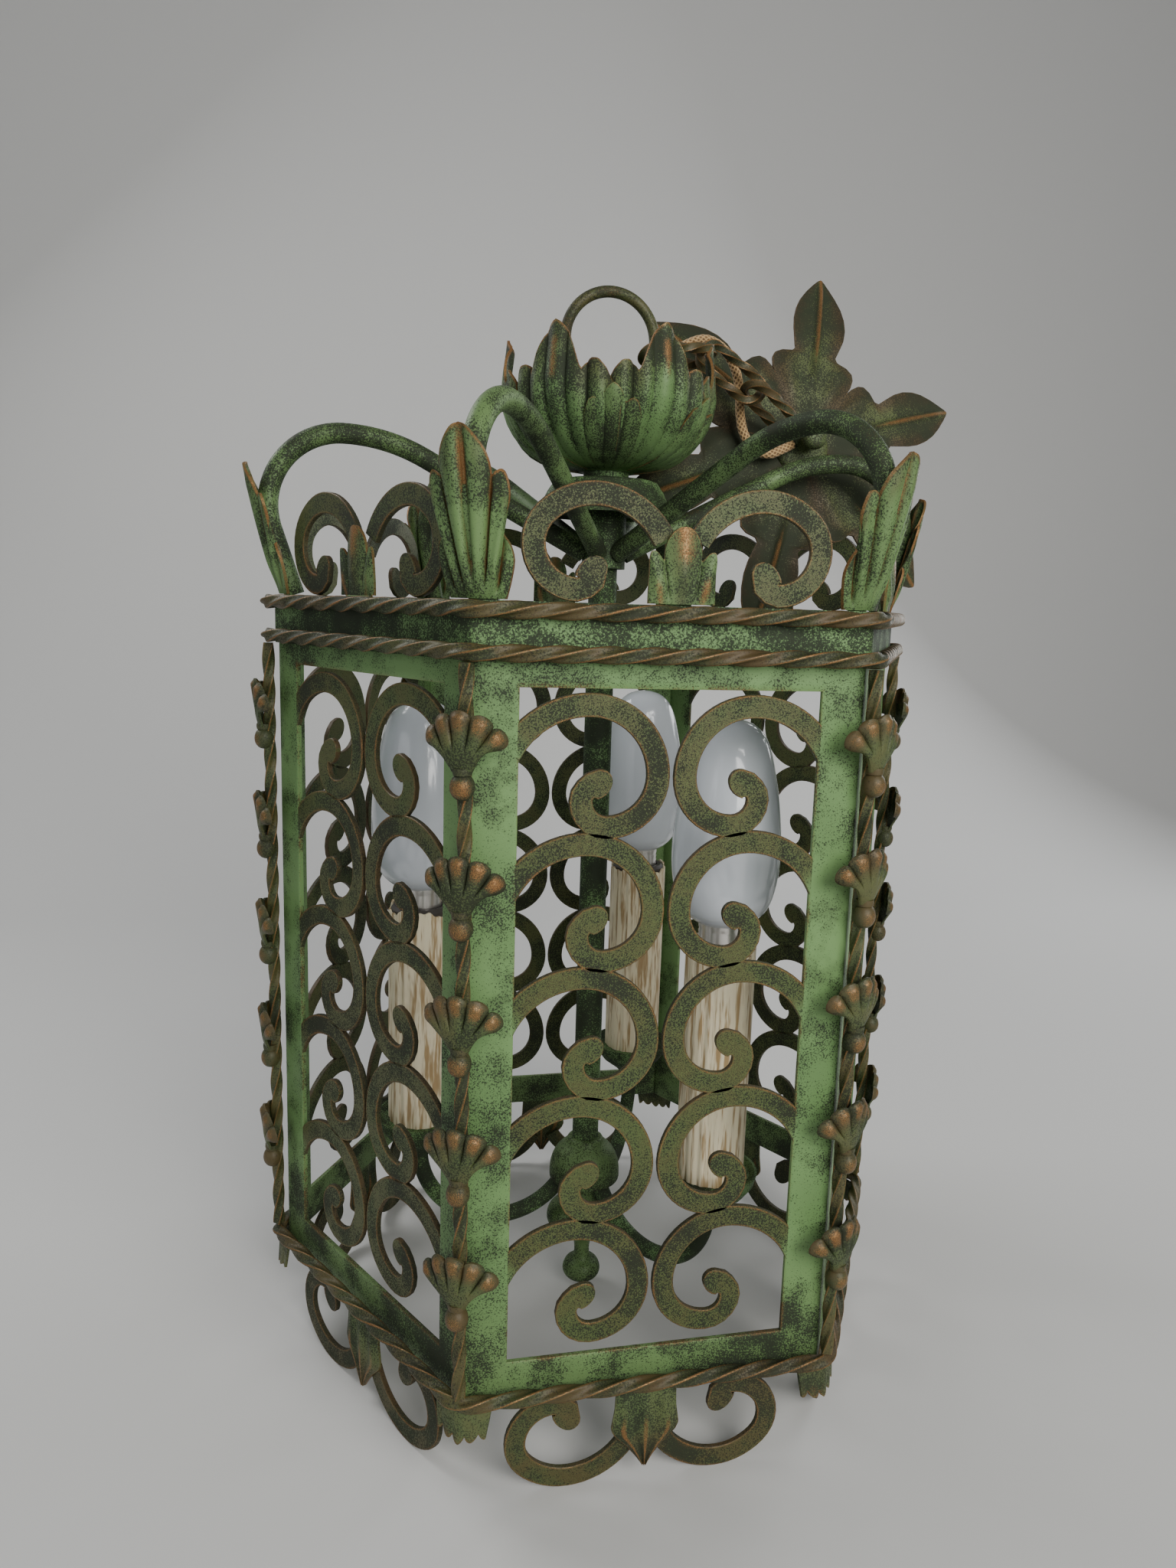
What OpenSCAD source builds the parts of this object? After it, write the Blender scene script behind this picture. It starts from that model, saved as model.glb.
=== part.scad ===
// Hexagonal wrought-iron cage lantern with three candle lamps, standing on its hanging scrolls.
// Frame: +Z up, the front face looks along -Y, the origin is on the axis at the standing plane.

/* [Cage] */
// Distance between two neighbouring corners, measured along a face
side = 190; // [184:1:200]
// Height of a grille panel
panel_h = 400; // [385:1:420]
// Thickness of the panel sheet
panel_t = 3; // [2.5:0.1:4]
// Width of a panel's side rail
stile_w = 20; // [18:0.1:22]
// Height of a panel's lower rail
low_rail = 22; // [18:0.5:26]
// Height of a panel's upper rail
top_rail = 38.5; // [37:0.5:42]
// Height of the band between the two upper rims
band_h = 27; // [26:0.5:30]
// Thickness of the band
band_t = 2; // [1.5:0.1:2.5]

/* [Grille scrolls] */
// Number of scroll rows in a panel
rows = 5; // [4:1:6]
// Width of a grille scroll's bar
grille_bar = 11.2; // [9:0.1:12]
// Distance from a side rail to the crown of a grille scroll
grille_inset = 33.1; // [31:0.1:35]
// Radius of the shoulder that runs into the side rail
grille_r0 = 42; // [40:0.5:46]
// Radius from the crown to the inner side
grille_r1 = 33.5; // [32:0.1:34]
// Radius from the inner side to the foot
grille_r2 = 24.3; // [23:0.1:25]
// Radius from the foot up into the curl
grille_r3 = 12.7; // [12:0.1:13.5]
// Radius of the curl
grille_r4 = 8; // [7.6:0.1:8.6]
// Radius of the round end of a grille scroll
grille_eye = 7.1; // [6.6:0.1:7.6]

/* [Frieze scrolls] */
// Width of the bar of a crown or hanging scroll
frieze_bar = 11; // [9:0.1:12]
// Half of the distance between the two bars of a face at their ends
frieze_gap = 8; // [6:0.1:9]
// Radius of a frieze scroll's long end
frieze_r1 = 36.7; // [34:0.1:38]
// Sweep of that long end in degrees
frieze_sweep = 62; // [56:1:64]
// Radius of a frieze scroll's shoulder
frieze_r2 = 32; // [30:0.1:33]
// Radius of a frieze scroll's side
frieze_r3 = 18; // [17:0.1:19]
// Radius from the side to the foot
frieze_r4 = 20.5; // [19:0.1:21.5]
// Radius of the turn into the curl
frieze_r5 = 6.2; // [6:0.1:7]
// Radius of the round end of a frieze scroll
frieze_eye = 7.7; // [7:0.1:8]

/* [Twisted bars] */
// Side of the square bar of the three rims
rope_bar = 6; // [5:0.1:6.6]
// Wished length of one full turn of a rim's twist
rope_turn = 86; // [70:1:110]
// Radius of a rim's bends at the corners
rope_bend = 12; // [9:0.5:16]
// Distance of an upper rim's centre from the band's edge
rope_edge = 4; // [3.5:0.1:5]
// Side of the square bar of a corner vine
vine_bar = 5.2; // [4.5:0.1:6]
// Length of one full turn of a corner vine's twist
vine_turn = 74; // [60:1:100]

/* [Vine flowers] */
// Number of flowers on a corner vine
flowers = 5; // [4:1:6]
// Distance from the top of a vine to its first flower
flower_head = 20.7; // [16:0.1:24]
// Distance from the bottom of a vine to the lip of its last flower
flower_foot = 79.5; // [70:0.5:90]
// Distance of a flower's middle petal from the vine's axis
flower_r = 11; // [9:0.5:13]
// Height of a flower from its waist to its lip
flower_h = 28; // [24:0.5:31]
// Radius of the bead under a flower
bead_r = 5.8; // [5:0.1:6.4]

/* [Crown] */
// Diameter of the six bent arms
arm_d = 11.5; // [9:0.1:12]
// Lean of an arm's foot from the upright
arm_lean = 18; // [16:0.5:20]
// Length of an arm's straight foot
arm_foot = 36; // [33:0.5:40]
// Radius of an arm's outer bend
arm_bend = 41.5; // [38:0.5:44]
// Radius of an arm's long inner bend
arm_sweep_r = 100; // [90:1:110]
// Angle at which an arm runs down to the hub
arm_slope = 27.5; // [25:0.5:29]
// Thickness of the leaf sheet
leaf_t = 1.8; // [1.5:0.1:2.2]
// Height of a corner leaf
leaf_h = 72; // [66:0.5:78]
// Half width of a corner leaf at its widest
leaf_w = 18; // [15:0.5:20]

/* [Centre top] */
// Radius of the hub's bell at its rim
bell_r = 41.5; // [38:0.5:44]
// Height of the hub's bell above the arms
bell_h = 20; // [17:0.5:22]
// Radius of the seat that carries the leaf cup
seat_r = 13.5; // [11:0.5:16]
// Radius of the leaf cup at its widest
cup_r = 62; // [56:0.5:64]
// Height of the leaf cup up to its leaf tips
cup_h = 73; // [66:0.5:80]
// Diameter of the rod of the hanging loop
loop_rod = 6.6; // [5:0.1:8]
// Radius of the hanging loop's bow
loop_r = 26.7; // [24:0.1:28]
// Height of the top of the hanging loop above the leaf cup's tips
loop_rise = 32; // [28:0.5:38]

/* [Chain and ceiling canopy] */
// Side of the twisted square bar of the chain
wire_bar = 4.6; // [4:0.1:5]
// Radius of a chain link's round ends
link_r = 8.8; // [8.4:0.1:10]
// Straight length of a chain link
link_straight = 27; // [26:0.1:28.5]
// Radius of the ceiling canopy over its leaf tips
canopy_r = 123; // [118:1:126]
// Thickness of the canopy sheet
canopy_t = 2; // [1.6:0.1:2.6]
// Depth by which the canopy's leaf tips curve back
canopy_dome = 25; // [20:1:28]
// Angle by which the canopy leans back
canopy_lean = 10; // [6:0.5:12]
// Diameter of the braided cable
cable_d = 6; // [5:0.1:7]

/* [Candles] */
// Outer diameter of the central tube
tube_d = 17; // [15:0.5:19]
// Distance of the candles from the axis
candle_reach = 108; // [102:0.5:110]
// Diameter of the candle arms
branch_d = 10; // [8:0.5:11]
// Radius of a candle arm's bend
branch_bend = 50; // [46:0.5:51]
// Diameter of a candle sleeve
sleeve_d = 40; // [38:0.5:42]
// Wall of a candle sleeve
sleeve_wall = 1.6; // [1.2:0.1:2]
// Height of a candle sleeve
sleeve_h = 140; // [120:1:145]
// Diameter of a bulb's glass
bulb_d = 60; // [52:0.5:64]
// Height of a bulb's glass
bulb_h = 114; // [100:0.5:118]

/* [Hidden] */
$fn = 48;
fit = 0.2;

// Colours
sage = "#6f9c78";
olive = "#6b6f4a";
bronze = "#7a5a3a";
wax = "#e8dfc0";
opal = "#f2f2ee";
braid = "#9c7a44";

// The cage in plan
apothem = side * cos(30);                       // outer plane of a panel
panel_half = (apothem - panel_t) * tan(30) - fit / 2;
open_half = panel_half - stile_w;

// Heights, worked out upwards from the standing plane
frieze_shoulder = frieze_r2 * (1 - cos(45)) + frieze_r3 * cos(45);
frieze_h = frieze_shoulder + frieze_r4 + frieze_bar;
panel_z = frieze_h + fit;
panel_top = panel_z + panel_h;
open_z = panel_z + low_rail;
open_top = panel_top - top_rail;

// Grille scrolls: the first crown hangs just under the upper rail
grille_h = grille_r1 + grille_r2 + grille_bar;
grille_head = 2;
grille_foot = 6;
grille_pitch = (open_top - open_z - grille_head - grille_foot - grille_h) / (rows - 1);
grille_x = -open_half + grille_inset;
grille_z = open_top - grille_head - grille_bar / 2;

// Twisted rims: the bar's corners clear the band by the fit
rope_c = rope_bar / sqrt(2);
rope_a = apothem + band_t + fit + rope_c;       // apothem of a rim's centre line
rope_bend_r = (rope_a - rope_bend) / cos(30);   // distance of a bend's centre from the axis
rope_corner = rope_bend_r + rope_bend;          // centre line at a corner
rope_half = (rope_a - rope_bend) * tan(30);     // half of a rim's straight stretch
rope_run = 2 * rope_half + rope_bend * PI / 3;  // centre line from corner to corner
rope_quarters = round(rope_run / rope_turn * 4);
rope_end = rope_bend * PI / 6;                  // run of half a bend
rope_s = concat(
    [0, rope_end / 2, rope_end],
    [for (i = [1:11]) rope_end + (rope_run - 2 * rope_end) * i / 12],
    [rope_run - rope_end, rope_run - rope_end / 2]
);
rope_steps = len(rope_s);
upper_z = panel_top - rope_edge;
lower_z = panel_top - band_h + rope_edge;
bottom_z = panel_z + 6;

// Corner vines stand between the lower and the bottom rim
vine_c = vine_bar / sqrt(2);
vine_r = rope_corner;
vine_z = bottom_z + rope_c + fit;
vine_top = lower_z - rope_c - fit;
flower_pitch = (vine_top - vine_z - flower_head - flower_foot) / (flowers - 1);

// Crown arms, in the plane through the axis and a corner
crown_z = panel_top + fit;
arm_r0 = apothem / cos(30) - arm_d / 2 / cos(arm_lean) - 2.8;
arm_end = [arm_r0 + arm_foot * sin(arm_lean), crown_z + 2 + arm_foot * cos(arm_lean)];
arm_c = arm_end + arm_bend * [-cos(arm_lean), sin(arm_lean)];
arm_top = arm_c + [0, arm_bend];
arm_c2 = arm_top - [0, arm_sweep_r];
arm_down = arm_c2 + arm_sweep_r * [-sin(arm_slope), cos(arm_slope)];
collar_r = 13;
function arm_z(r) = arm_down[1] - (arm_down[0] - r) * tan(arm_slope);

// The hub rests on the arms with the rim of its bell
bell_z = arm_z(bell_r) + arm_d / 2 / cos(arm_slope) + fit;
hub_low = arm_z(collar_r) - arm_d / 2 / cos(arm_slope) - 3;
tube_top = bell_z - 6;
seat_z = bell_z + bell_h + 5;
cup_z = seat_z + fit;
cup_t = leaf_t;
loop_top = cup_z + cup_h + loop_rise;
loop_z = cup_z + 6.4;

// Candles
tube_z = 108;
candle_hub_z = tube_z - fit;
branch_c = [candle_reach - branch_bend, 106];
drip_z = branch_c[1];
sleeve_z = drip_z + 24;
sleeve_top = sleeve_z + sleeve_h;
holder_r = sleeve_d / 2 - sleeve_wall - fit;
cap_r = 13.2;
bulb_z = sleeve_top + 11;

// Chain and canopy, laid over the rim of the leaf cup and behind an arm
canopy_p = [132, arm_d / 2 + 17, arm_c2[1] + sqrt(pow(arm_sweep_r, 2) - 400) + arm_d / 2 + 9];
canopy_spin = 18;
neck_r = 5;

// Route of the braided cable: round points chosen by hand, in the part's frame
cable_pts = [
    [5, 10, 533.9], [5.6, 10.6, 546], [14, 15, 561], [22, 17, 577], [31, 19, 592], [41, 20, 604],
    [52, 20, 612], [64, 20, 616], [75, 20, 612], [83, 19, 602], [87, 18, 588], [88, 17, 573],
    [91, 16, 561], [98, 14, 552], [107, 13, 550], [115, 14, 553], [123, 16, 557]
];

function mix(a, b, t) = a + (b - a) * t;

// Ring arc of a flat bar lying in a plane facing -Y, t thick towards +Y
module ring_arc(x, z, r, from, sweep, w, t)
{
    r_in = max(0.2, r - w / 2);
    translate([x, t, z])
        rotate([90, 0, 0])
            rotate([0, 0, from])
                rotate_extrude(angle = sweep)
                    translate([r_in, 0])
                        square([r + w / 2 - r_in, t]);
}

// One edge of a bar that follows a chain of arcs [x, z, radius, from, to], off beside its centre line
function edge_along(arcs, off) =
    [for (i = [0:len(arcs) - 1])
        let (a = arcs[i], n = ceil((a[4] - a[3]) / 9))
            for (j = [(i == 0 ? 0 : 1):n])
                let (b = a[3] + (a[4] - a[3]) * j / n)
                    [a[0] + (a[2] + off) * cos(b), a[1] + (a[2] + off) * sin(b)]];

// Flat bar along a chain of arcs, in a plane facing -Y, t thick towards +Y
module bar_along(arcs, w, t)
{
    inner = edge_along(arcs, -w / 2);
    translate([0, t, 0])
        rotate([90, 0, 0])
            linear_extrude(height = t)
                polygon(concat(edge_along(arcs, w / 2), [for (i = [len(inner) - 1:-1:0]) inner[i]]));
}

// Closes a grid of front points and a grid of back points into one thin solid
module shell(front, back)
{
    nv = len(front);
    nu = len(front[0]);
    n = nu * nv;
    points = concat([for (row = front) each row], [for (row = back) each row]);
    faces = concat(
        [for (i = [0:nv - 2]) for (j = [0:nu - 2]) let (a = i * nu + j)
            each [[a, a + nu, a + nu + 1], [a, a + nu + 1, a + 1]]],
        [for (i = [0:nv - 2]) for (j = [0:nu - 2]) let (a = n + i * nu + j)
            each [[a, a + nu + 1, a + nu], [a, a + 1, a + nu + 1]]],
        [for (j = [0:nu - 2]) each [[j, j + 1, n + j + 1], [j, n + j + 1, n + j]]],
        [for (j = [0:nu - 2]) let (a = (nv - 1) * nu + j)
            each [[a, n + a + 1, a + 1], [a, n + a, n + a + 1]]],
        [for (i = [0:nv - 2]) let (a = i * nu)
            each [[a, n + a + nu, a + nu], [a, n + a, n + a + nu]]],
        [for (i = [0:nv - 2]) let (a = i * nu + nu - 1)
            each [[a, a + nu, n + a + nu], [a, n + a + nu, n + a]]]
    );
    polyhedron(points = points, faces = faces, convexity = 8);
}

// Skin over a row of rings with equal numbers of points; closed joins the last ring to the first
module skin(rings, closed = false)
{
    m = len(rings);
    n = len(rings[0]);
    last = closed ? m - 1 : m - 2;
    points = [for (ring = rings) each ring];
    walls = [for (i = [0:last]) for (j = [0:n - 1])
        let (p = i * n + j, q = i * n + (j + 1) % n, r = ((i + 1) % m) * n + j, s = ((i + 1) % m) * n + (j + 1) % n)
            each [[p, s, q], [p, r, s]]];
    caps = closed ? [] : [[for (j = [0:n - 1]) j], [for (j = [n - 1:-1:0]) (m - 1) * n + j]];
    polyhedron(points = points, faces = concat(walls, caps), convexity = 8);
}

// Ring of n points round p, across the tangent t, with b as one of its axes
function ring_at(p, t, b, r, n, turn) =
    let (u = cross(b, t) / norm(cross(b, t)))
        [for (j = [0:n - 1]) p + r * (cos(turn + 360 * j / n) * u + sin(turn + 360 * j / n) * b)];

// Unit tangents of an open run of points
function tangents(p) =
    [for (i = [0:len(p) - 1])
        let (d = p[min(i + 1, len(p) - 1)] - p[max(i - 1, 0)]) d / norm(d)];

// Grille panels

module grille_scroll(z)
{
    foot_x = grille_x + grille_r1 - grille_r2;
    foot_z = z - grille_r1 - grille_r2;
    eye_x = foot_x - grille_r3 + grille_r4;
    eye_z = foot_z + grille_r3 + grille_r4;
    shoulder = asin(min(0.99, (grille_inset + 2.3) / grille_r0));
    ring_arc(grille_x, z - grille_r0, grille_r0, 90, shoulder, grille_bar, panel_t);
    ring_arc(grille_x, z - grille_r1, grille_r1, 0, 90, grille_bar, panel_t);
    ring_arc(foot_x, z - grille_r1, grille_r2, 270, 90, grille_bar, panel_t);
    ring_arc(foot_x, foot_z + grille_r3, grille_r3, 180, 90, grille_bar, panel_t);
    ring_arc(eye_x, foot_z + grille_r3, grille_r4, 90, 90, grille_bar, panel_t);
    translate([eye_x, 0, eye_z]) rotate([-90, 0, 0]) cylinder(r = grille_eye, h = panel_t);
}

module panel(k)
{
    color(sage)
        rotate([0, 0, 60 * (k - 1)])
            translate([0, -apothem, 0]) {
                difference() {
                    translate([-panel_half, 0, panel_z])
                        cube([2 * panel_half, panel_t, panel_h]);
                    translate([-open_half, -1, open_z])
                        cube([2 * open_half, panel_t + 2, open_top - open_z]);
                }
                for (row = [0:rows - 1])
                    for (hand = [0, 1])
                        mirror([hand, 0, 0])
                            grille_scroll(grille_z - row * grille_pitch);
            }
}

// Frieze scrolls: the same pair stands on the crown and hangs under the cage

frieze_x = -frieze_gap - frieze_r1 * sin(frieze_sweep);

module frieze_scroll()
{
    top = frieze_h - frieze_bar / 2;
    turn_c = [frieze_x, top - frieze_r2] + (frieze_r2 - frieze_r3) * [-cos(45), sin(45)];
    foot_x = turn_c[0] - frieze_r3 + frieze_r4;
    foot_z = turn_c[1] - frieze_r4;
    curl_z = foot_z + frieze_r5;
    bar_along([
        [frieze_x, top - frieze_r1, frieze_r1, 90 - frieze_sweep, 90],
        [frieze_x, top - frieze_r2, frieze_r2, 90, 135],
        [turn_c[0], turn_c[1], frieze_r3, 135, 180],
        [foot_x, turn_c[1], frieze_r4, 180, 270],
        [foot_x, curl_z, frieze_r5, 270, 370]
    ], frieze_bar, panel_t);
    translate([foot_x + frieze_r5 - frieze_eye + 3.6, 0, curl_z + 5.4])
        rotate([-90, 0, 0])
            cylinder(r = frieze_eye, h = panel_t);
}

// Ribbed leaf on the face of a frieze: rows of [height, half width, dip of the edge]
face_leaf_rows = [[0.6, 16, 0], [12, 16.4, 0], [22, 15.6, -1], [25, 11, 0], [34, 5, 2]];
pendant_leaf_rows = [[-46.5, 1.2, 0], [-34, 11, 3], [-26, 18, 1.5], [-13, 17, 0], [-0.6, 16, 0]];

module face_leaf(leaf_rows)
{
    front = [for (row = leaf_rows)
        [for (j = [0:4])
            let (u = j / 2 - 1, crest = j % 2 == 1 ? 0.2 : 1.3)
                [u * row[1], -fit - leaf_t - crest - 1.2 * (1 - u * u), row[0] - row[2] * u * u]]];
    back = [for (row = leaf_rows)
        [for (j = [0:4])
            let (u = j / 2 - 1)
                [u * row[1], -fit - 0.24 * (1 - u * u), row[0] - row[2] * u * u]]];
    shell(front, back);
}

module crown_frieze(k)
{
    color(olive)
        rotate([0, 0, 60 * (k - 1)])
            translate([0, -apothem, crown_z]) {
                for (hand = [0, 1])
                    mirror([hand, 0, 0])
                        frieze_scroll();
                translate([0, 0, rope_c - rope_edge + 0.1])
                    face_leaf(face_leaf_rows);
            }
}

module hanging_frieze(k)
{
    color(olive)
        rotate([0, 0, 60 * (k - 1)])
            translate([0, -apothem, panel_z - fit]) {
                mirror([0, 0, 1])
                    for (hand = [0, 1])
                        mirror([hand, 0, 0])
                            frieze_scroll();
                translate([0, 0, 6 + fit - rope_c])
                    face_leaf(pendant_leaf_rows);
            }
}

// Twisted rims

function rim_point(k, i) =
    let (s = rope_s[i], bend = rope_end)
        s < bend ? let (a = -120 + s / bend * 30)
            [[rope_bend_r * cos(-120) + rope_bend * cos(a), rope_bend_r * sin(-120) + rope_bend * sin(a)], a + 90]
        : s > rope_run - bend ? let (a = -90 + (s - rope_run + bend) / bend * 30)
            [[rope_bend_r * cos(-60) + rope_bend * cos(a), rope_bend_r * sin(-60) + rope_bend * sin(a)], a + 90]
        : [[s - rope_run / 2, -rope_a], 0];

module rim(z)
{
    rings = [for (k = [0:5]) for (i = [0:rope_steps - 1])
        let (
            q = rim_point(k, i),
            c = cos(60 * k),
            s = sin(60 * k),
            p = [q[0][0] * c - q[0][1] * s, q[0][0] * s + q[0][1] * c, z],
            t = [cos(q[1] + 60 * k), sin(q[1] + 60 * k), 0]
        )
            ring_at(p, t, [0, 0, 1], rope_c, 4, -90 * rope_quarters * rope_s[i] / rope_run)];
    skin_twisted(rings);
}

// The twist of one side is a whole number of quarter turns, so each side starts its own count
module skin_twisted(rings)
{
    m = len(rings);
    n = 4;
    points = [for (ring = rings) each ring];
    walls = [for (i = [0:m - 1]) for (j = [0:n - 1])
        let (
            jump = (i + 1) % rope_steps == 0 ? rope_quarters : 0,
            i2 = (i + 1) % m,
            p = i * n + j,
            q = i * n + (j + 1) % n,
            r = i2 * n + (j + 4 * rope_quarters - jump) % n,
            s = i2 * n + (j + 1 + 4 * rope_quarters - jump) % n
        )
            each [[p, s, q], [p, r, s]]];
    polyhedron(points = points, faces = walls, convexity = 8);
}

module upper_rope()
{
    color(bronze) rim(upper_z);
}

module lower_rope()
{
    color(bronze) rim(lower_z);
}

// Scalloped drops that finish the corners under the bottom rim
drop_h = 18;
module corner_drop()
{
    r0 = rope_corner - 2;
    lobes = [4, 0, 3, -1.5, 3, 0, 4];
    front = [for (v = [0, 1])
        [for (j = [0:6])
            let (x = (j / 3 - 1) * mix(13, 15, 1 - v), z = v == 1 ? -fit - rope_c : -rope_c - drop_h + lobes[j])
                [r0 + leaf_t - 0.577 * (sqrt(x * x + 36) - 6), x, z]]];
    back = [for (row = front) [for (p = row) p - [leaf_t, 0, 0]]];
    shell(front, back);
}

module bottom_rope()
{
    color(bronze) {
        rim(bottom_z);
        for (k = [0:5])
            rotate([0, 0, 60 * k])
                translate([0, 0, bottom_z])
                    corner_drop();
    }
}

// Band round the top of the panels, bent at the corners
function round_hex(out, bend) =
    [for (k = [0:5]) for (j = [0:4])
        let (a = 60 * k - 90 + 15 * j, far = (out - bend) / cos(30))
            [far * cos(60 * k - 60) + bend * cos(a), far * sin(60 * k - 60) + bend * sin(a)]];

module top_band()
{
    bend = 5;
    color(sage)
        translate([0, 0, panel_top - band_h])
            difference() {
                linear_extrude(height = band_h)
                    polygon(round_hex(apothem + band_t, bend));
                translate([0, 0, -1])
                    linear_extrude(height = band_h + 2)
                        polygon(round_hex(apothem + fit, bend - band_t + fit));
            }
}

// Corner vines

// Five petals fan out over the corner: odd points of the lip are petal ends, even ones lie between two petals
function corner_fall(y) = 0.577 * (sqrt(y * y + 36) - 6);

module flower()
{
    n = 11;
    lip = [for (j = [0:n - 1])
        let (
            a = 11.5 * (j - 5),
            tip = j % 2 == 1,
            reach = j == 0 || j == n - 1 ? 0.64 * flower_h : flower_h - 0.001 * a * a - (tip ? 0 : 4.5),
            y = reach * sin(a)
        )
            [(tip ? flower_r : flower_r - 2.5) - corner_fall(y), y, reach * cos(a) - flower_h]];
    waist = [for (j = [0:n - 1])
        let (y = 4.7 * (j - 5) / 5)
            [6.3 - 0.1 * y * y, y, -flower_h]];
    points = concat(waist, lip, [[-2, 0, -flower_h], [-2, 0, -flower_h + 8]]);
    faces = concat(
        [for (j = [0:n - 2]) each [[j, j + n, j + n + 1], [j, j + n + 1, j + 1]]],
        [for (j = [0:n - 2]) [2 * n + 1, j + n + 1, j + n]],
        [for (j = [0:n - 2]) [2 * n, j, j + 1]],
        [[2 * n, 2 * n + 1, n], [2 * n, n, 0], [2 * n, n - 1, 2 * n - 1], [2 * n, 2 * n - 1, 2 * n + 1]]
    );
    polyhedron(points = points, faces = faces, convexity = 6);
}

module corner_vine(k)
{
    steps = 30;
    run = vine_top - vine_z;
    color(bronze)
        rotate([0, 0, 60 * (k - 1) - 120])
            translate([vine_r, 0, 0]) {
                skin([for (i = [0:steps])
                    ring_at([0, 0, vine_z + run * i / steps], [0, 0, 1], [0, 1, 0], vine_c, 4,
                        360 * run / vine_turn * i / steps)]);
                for (row = [0:flowers - 1])
                    translate([0, 0, vine_top - flower_head - row * flower_pitch]) {
                        flower();
                        translate([3, 0, -flower_h - bead_r - 0.6])
                            sphere(r = bead_r, $fn = 24);
                    }
            }
}

// Corner leaves fan out from their foot: half of the outline as [half width, height, relief]
leaf_edge = [
    [0.75, 0, 0], [1, 0.235, 0.5], [0.78, 0.4, -1.4], [1.02, 0.63, 0.4], [0.91, 0.75, 0.4],
    [0.64, 0.715, -1.4], [0.6, 0.84, 0.2], [0.3, 0.96, 0.4], [0, 1, 0.6]
];

module corner_leaf(k)
{
    base_r = arm_r0 + arm_d / 2 / cos(arm_lean) + 2 * fit + leaf_t;
    n = len(leaf_edge) - 1;
    front = [for (v = [0, 0.55, 1])
        [for (j = [-n:n])
            let (
                q = leaf_edge[n - abs(j)],
                x = mix(0.75 * j / n, sign(j) * q[0], v) * leaf_w,
                z = leaf_h * q[1] * v,
                relief = q[2] * sin(150 * v),
                curl = -4.2 * pow(z / leaf_h, 2)
            )
                [base_r + z * tan(arm_lean) + relief + curl - corner_fall(x), x, z]]];
    back = [for (row = front) [for (p = row) p - [leaf_t, 0, 0]]];
    color(sage)
        rotate([0, 0, 60 * (k - 1) - 120])
            translate([0, 0, upper_z + rope_c + fit])
                shell(front, back);
}

// Crown arms
module crown_arm(k)
{
    path = concat(
        [[arm_r0 - 2 * tan(arm_lean) + 0.001, crown_z], arm_end],
        [for (i = [1:6]) let (a = -arm_lean + (90 + arm_lean) * i / 6) arm_c + arm_bend * [cos(a), sin(a)]],
        [for (i = [1:3]) let (a = 90 + arm_slope * i / 3) arm_c2 + arm_sweep_r * [cos(a), sin(a)]],
        [[collar_r + fit + 0.001, arm_z(collar_r + fit)]]
    );
    points = [for (p = path) [p[0], 0, p[1]]];
    t = tangents(points);
    last = len(points) - 1;
    color(sage)
        rotate([0, 0, 60 * (k - 1) - 120])
            intersection() {
                difference() {
                    skin([for (i = [0:last])
                        ring_at(
                            points[i] + (i == 0 ? -4 * [sin(arm_lean), 0, cos(arm_lean)] : i == last ? 5 * t[i] : [0, 0, 0]),
                            i == 0 ? [sin(arm_lean), 0, cos(arm_lean)] : t[i], [0, 1, 0], arm_d / 2, 8, 22.5)]);
                    cylinder(r = collar_r + fit, h = 700, $fn = 48);
                }
                translate([0, -50, crown_z])
                    cube([300, 100, 200]);
            }
}

// Hub: a collar that the arms are welded to, and a bell whose rim lies on them
module hub()
{
    color(sage)
        rotate_extrude()
            polygon([
                [tube_d / 2 + fit, hub_low], [collar_r, hub_low], [collar_r, bell_z + 2],
                [bell_r - 3.5, bell_z + 2], [bell_r - 1.2, bell_z], [bell_r, bell_z], [bell_r, bell_z + 1.5],
                [bell_r - 3.5, bell_z + 0.35 * bell_h], [bell_r - 7, bell_z + 0.7 * bell_h],
                [bell_r - 10.5, bell_z + 0.95 * bell_h], [bell_r - 13, bell_z + bell_h], [seat_r, bell_z + bell_h + 0.6],
                [seat_r, seat_z], [0, seat_z], [0, tube_top + fit], [tube_d / 2 + fit, tube_top + fit]
            ]);
}

// Leaf cup: a fluted bowl of six overlapping leaves
cup_lobes = [0.6, 0.71, 0.62, 0.9, 1, 0.9, 0.62, 0.71];
cup_flutes = [-1.4, 0.8, -1, 0.3, 1, 0.3, -1, 0.8];
cup_profile = [[0, 0], [2, 0.5], [5, 0.62], [14, 0.8], [26, 0.93], [40, 1], [56, 0.985], [80, 0.97]];

module leaf_cup()
{
    steps = [0, 0.1, 0.3, 0.6, 1];
    base = 16;
    function wall(j, v, t) =
        let (
            a = -72 + 7.5 * (j - 4),
            rim = cup_h * cup_lobes[j % 8],
            z = rim * v,
            r = (z <= 2 ? base + z * 6 : max(base + 12, cup_r * lookup(z, cup_profile))) + cup_flutes[j % 8] * v - t
        )
            [r * cos(a), r * sin(a), z + (t > 0 ? (1 - v) * t : 0)];
    outer = [for (v = steps) [for (j = [0:47]) wall(j, v, 0)]];
    inner = [for (i = [len(steps) - 1:-1:0]) [for (j = [0:47]) wall(j, steps[i], cup_t)]];
    color(sage)
        translate([0, 0, cup_z])
            skin(concat(outer, inner));
}

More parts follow.
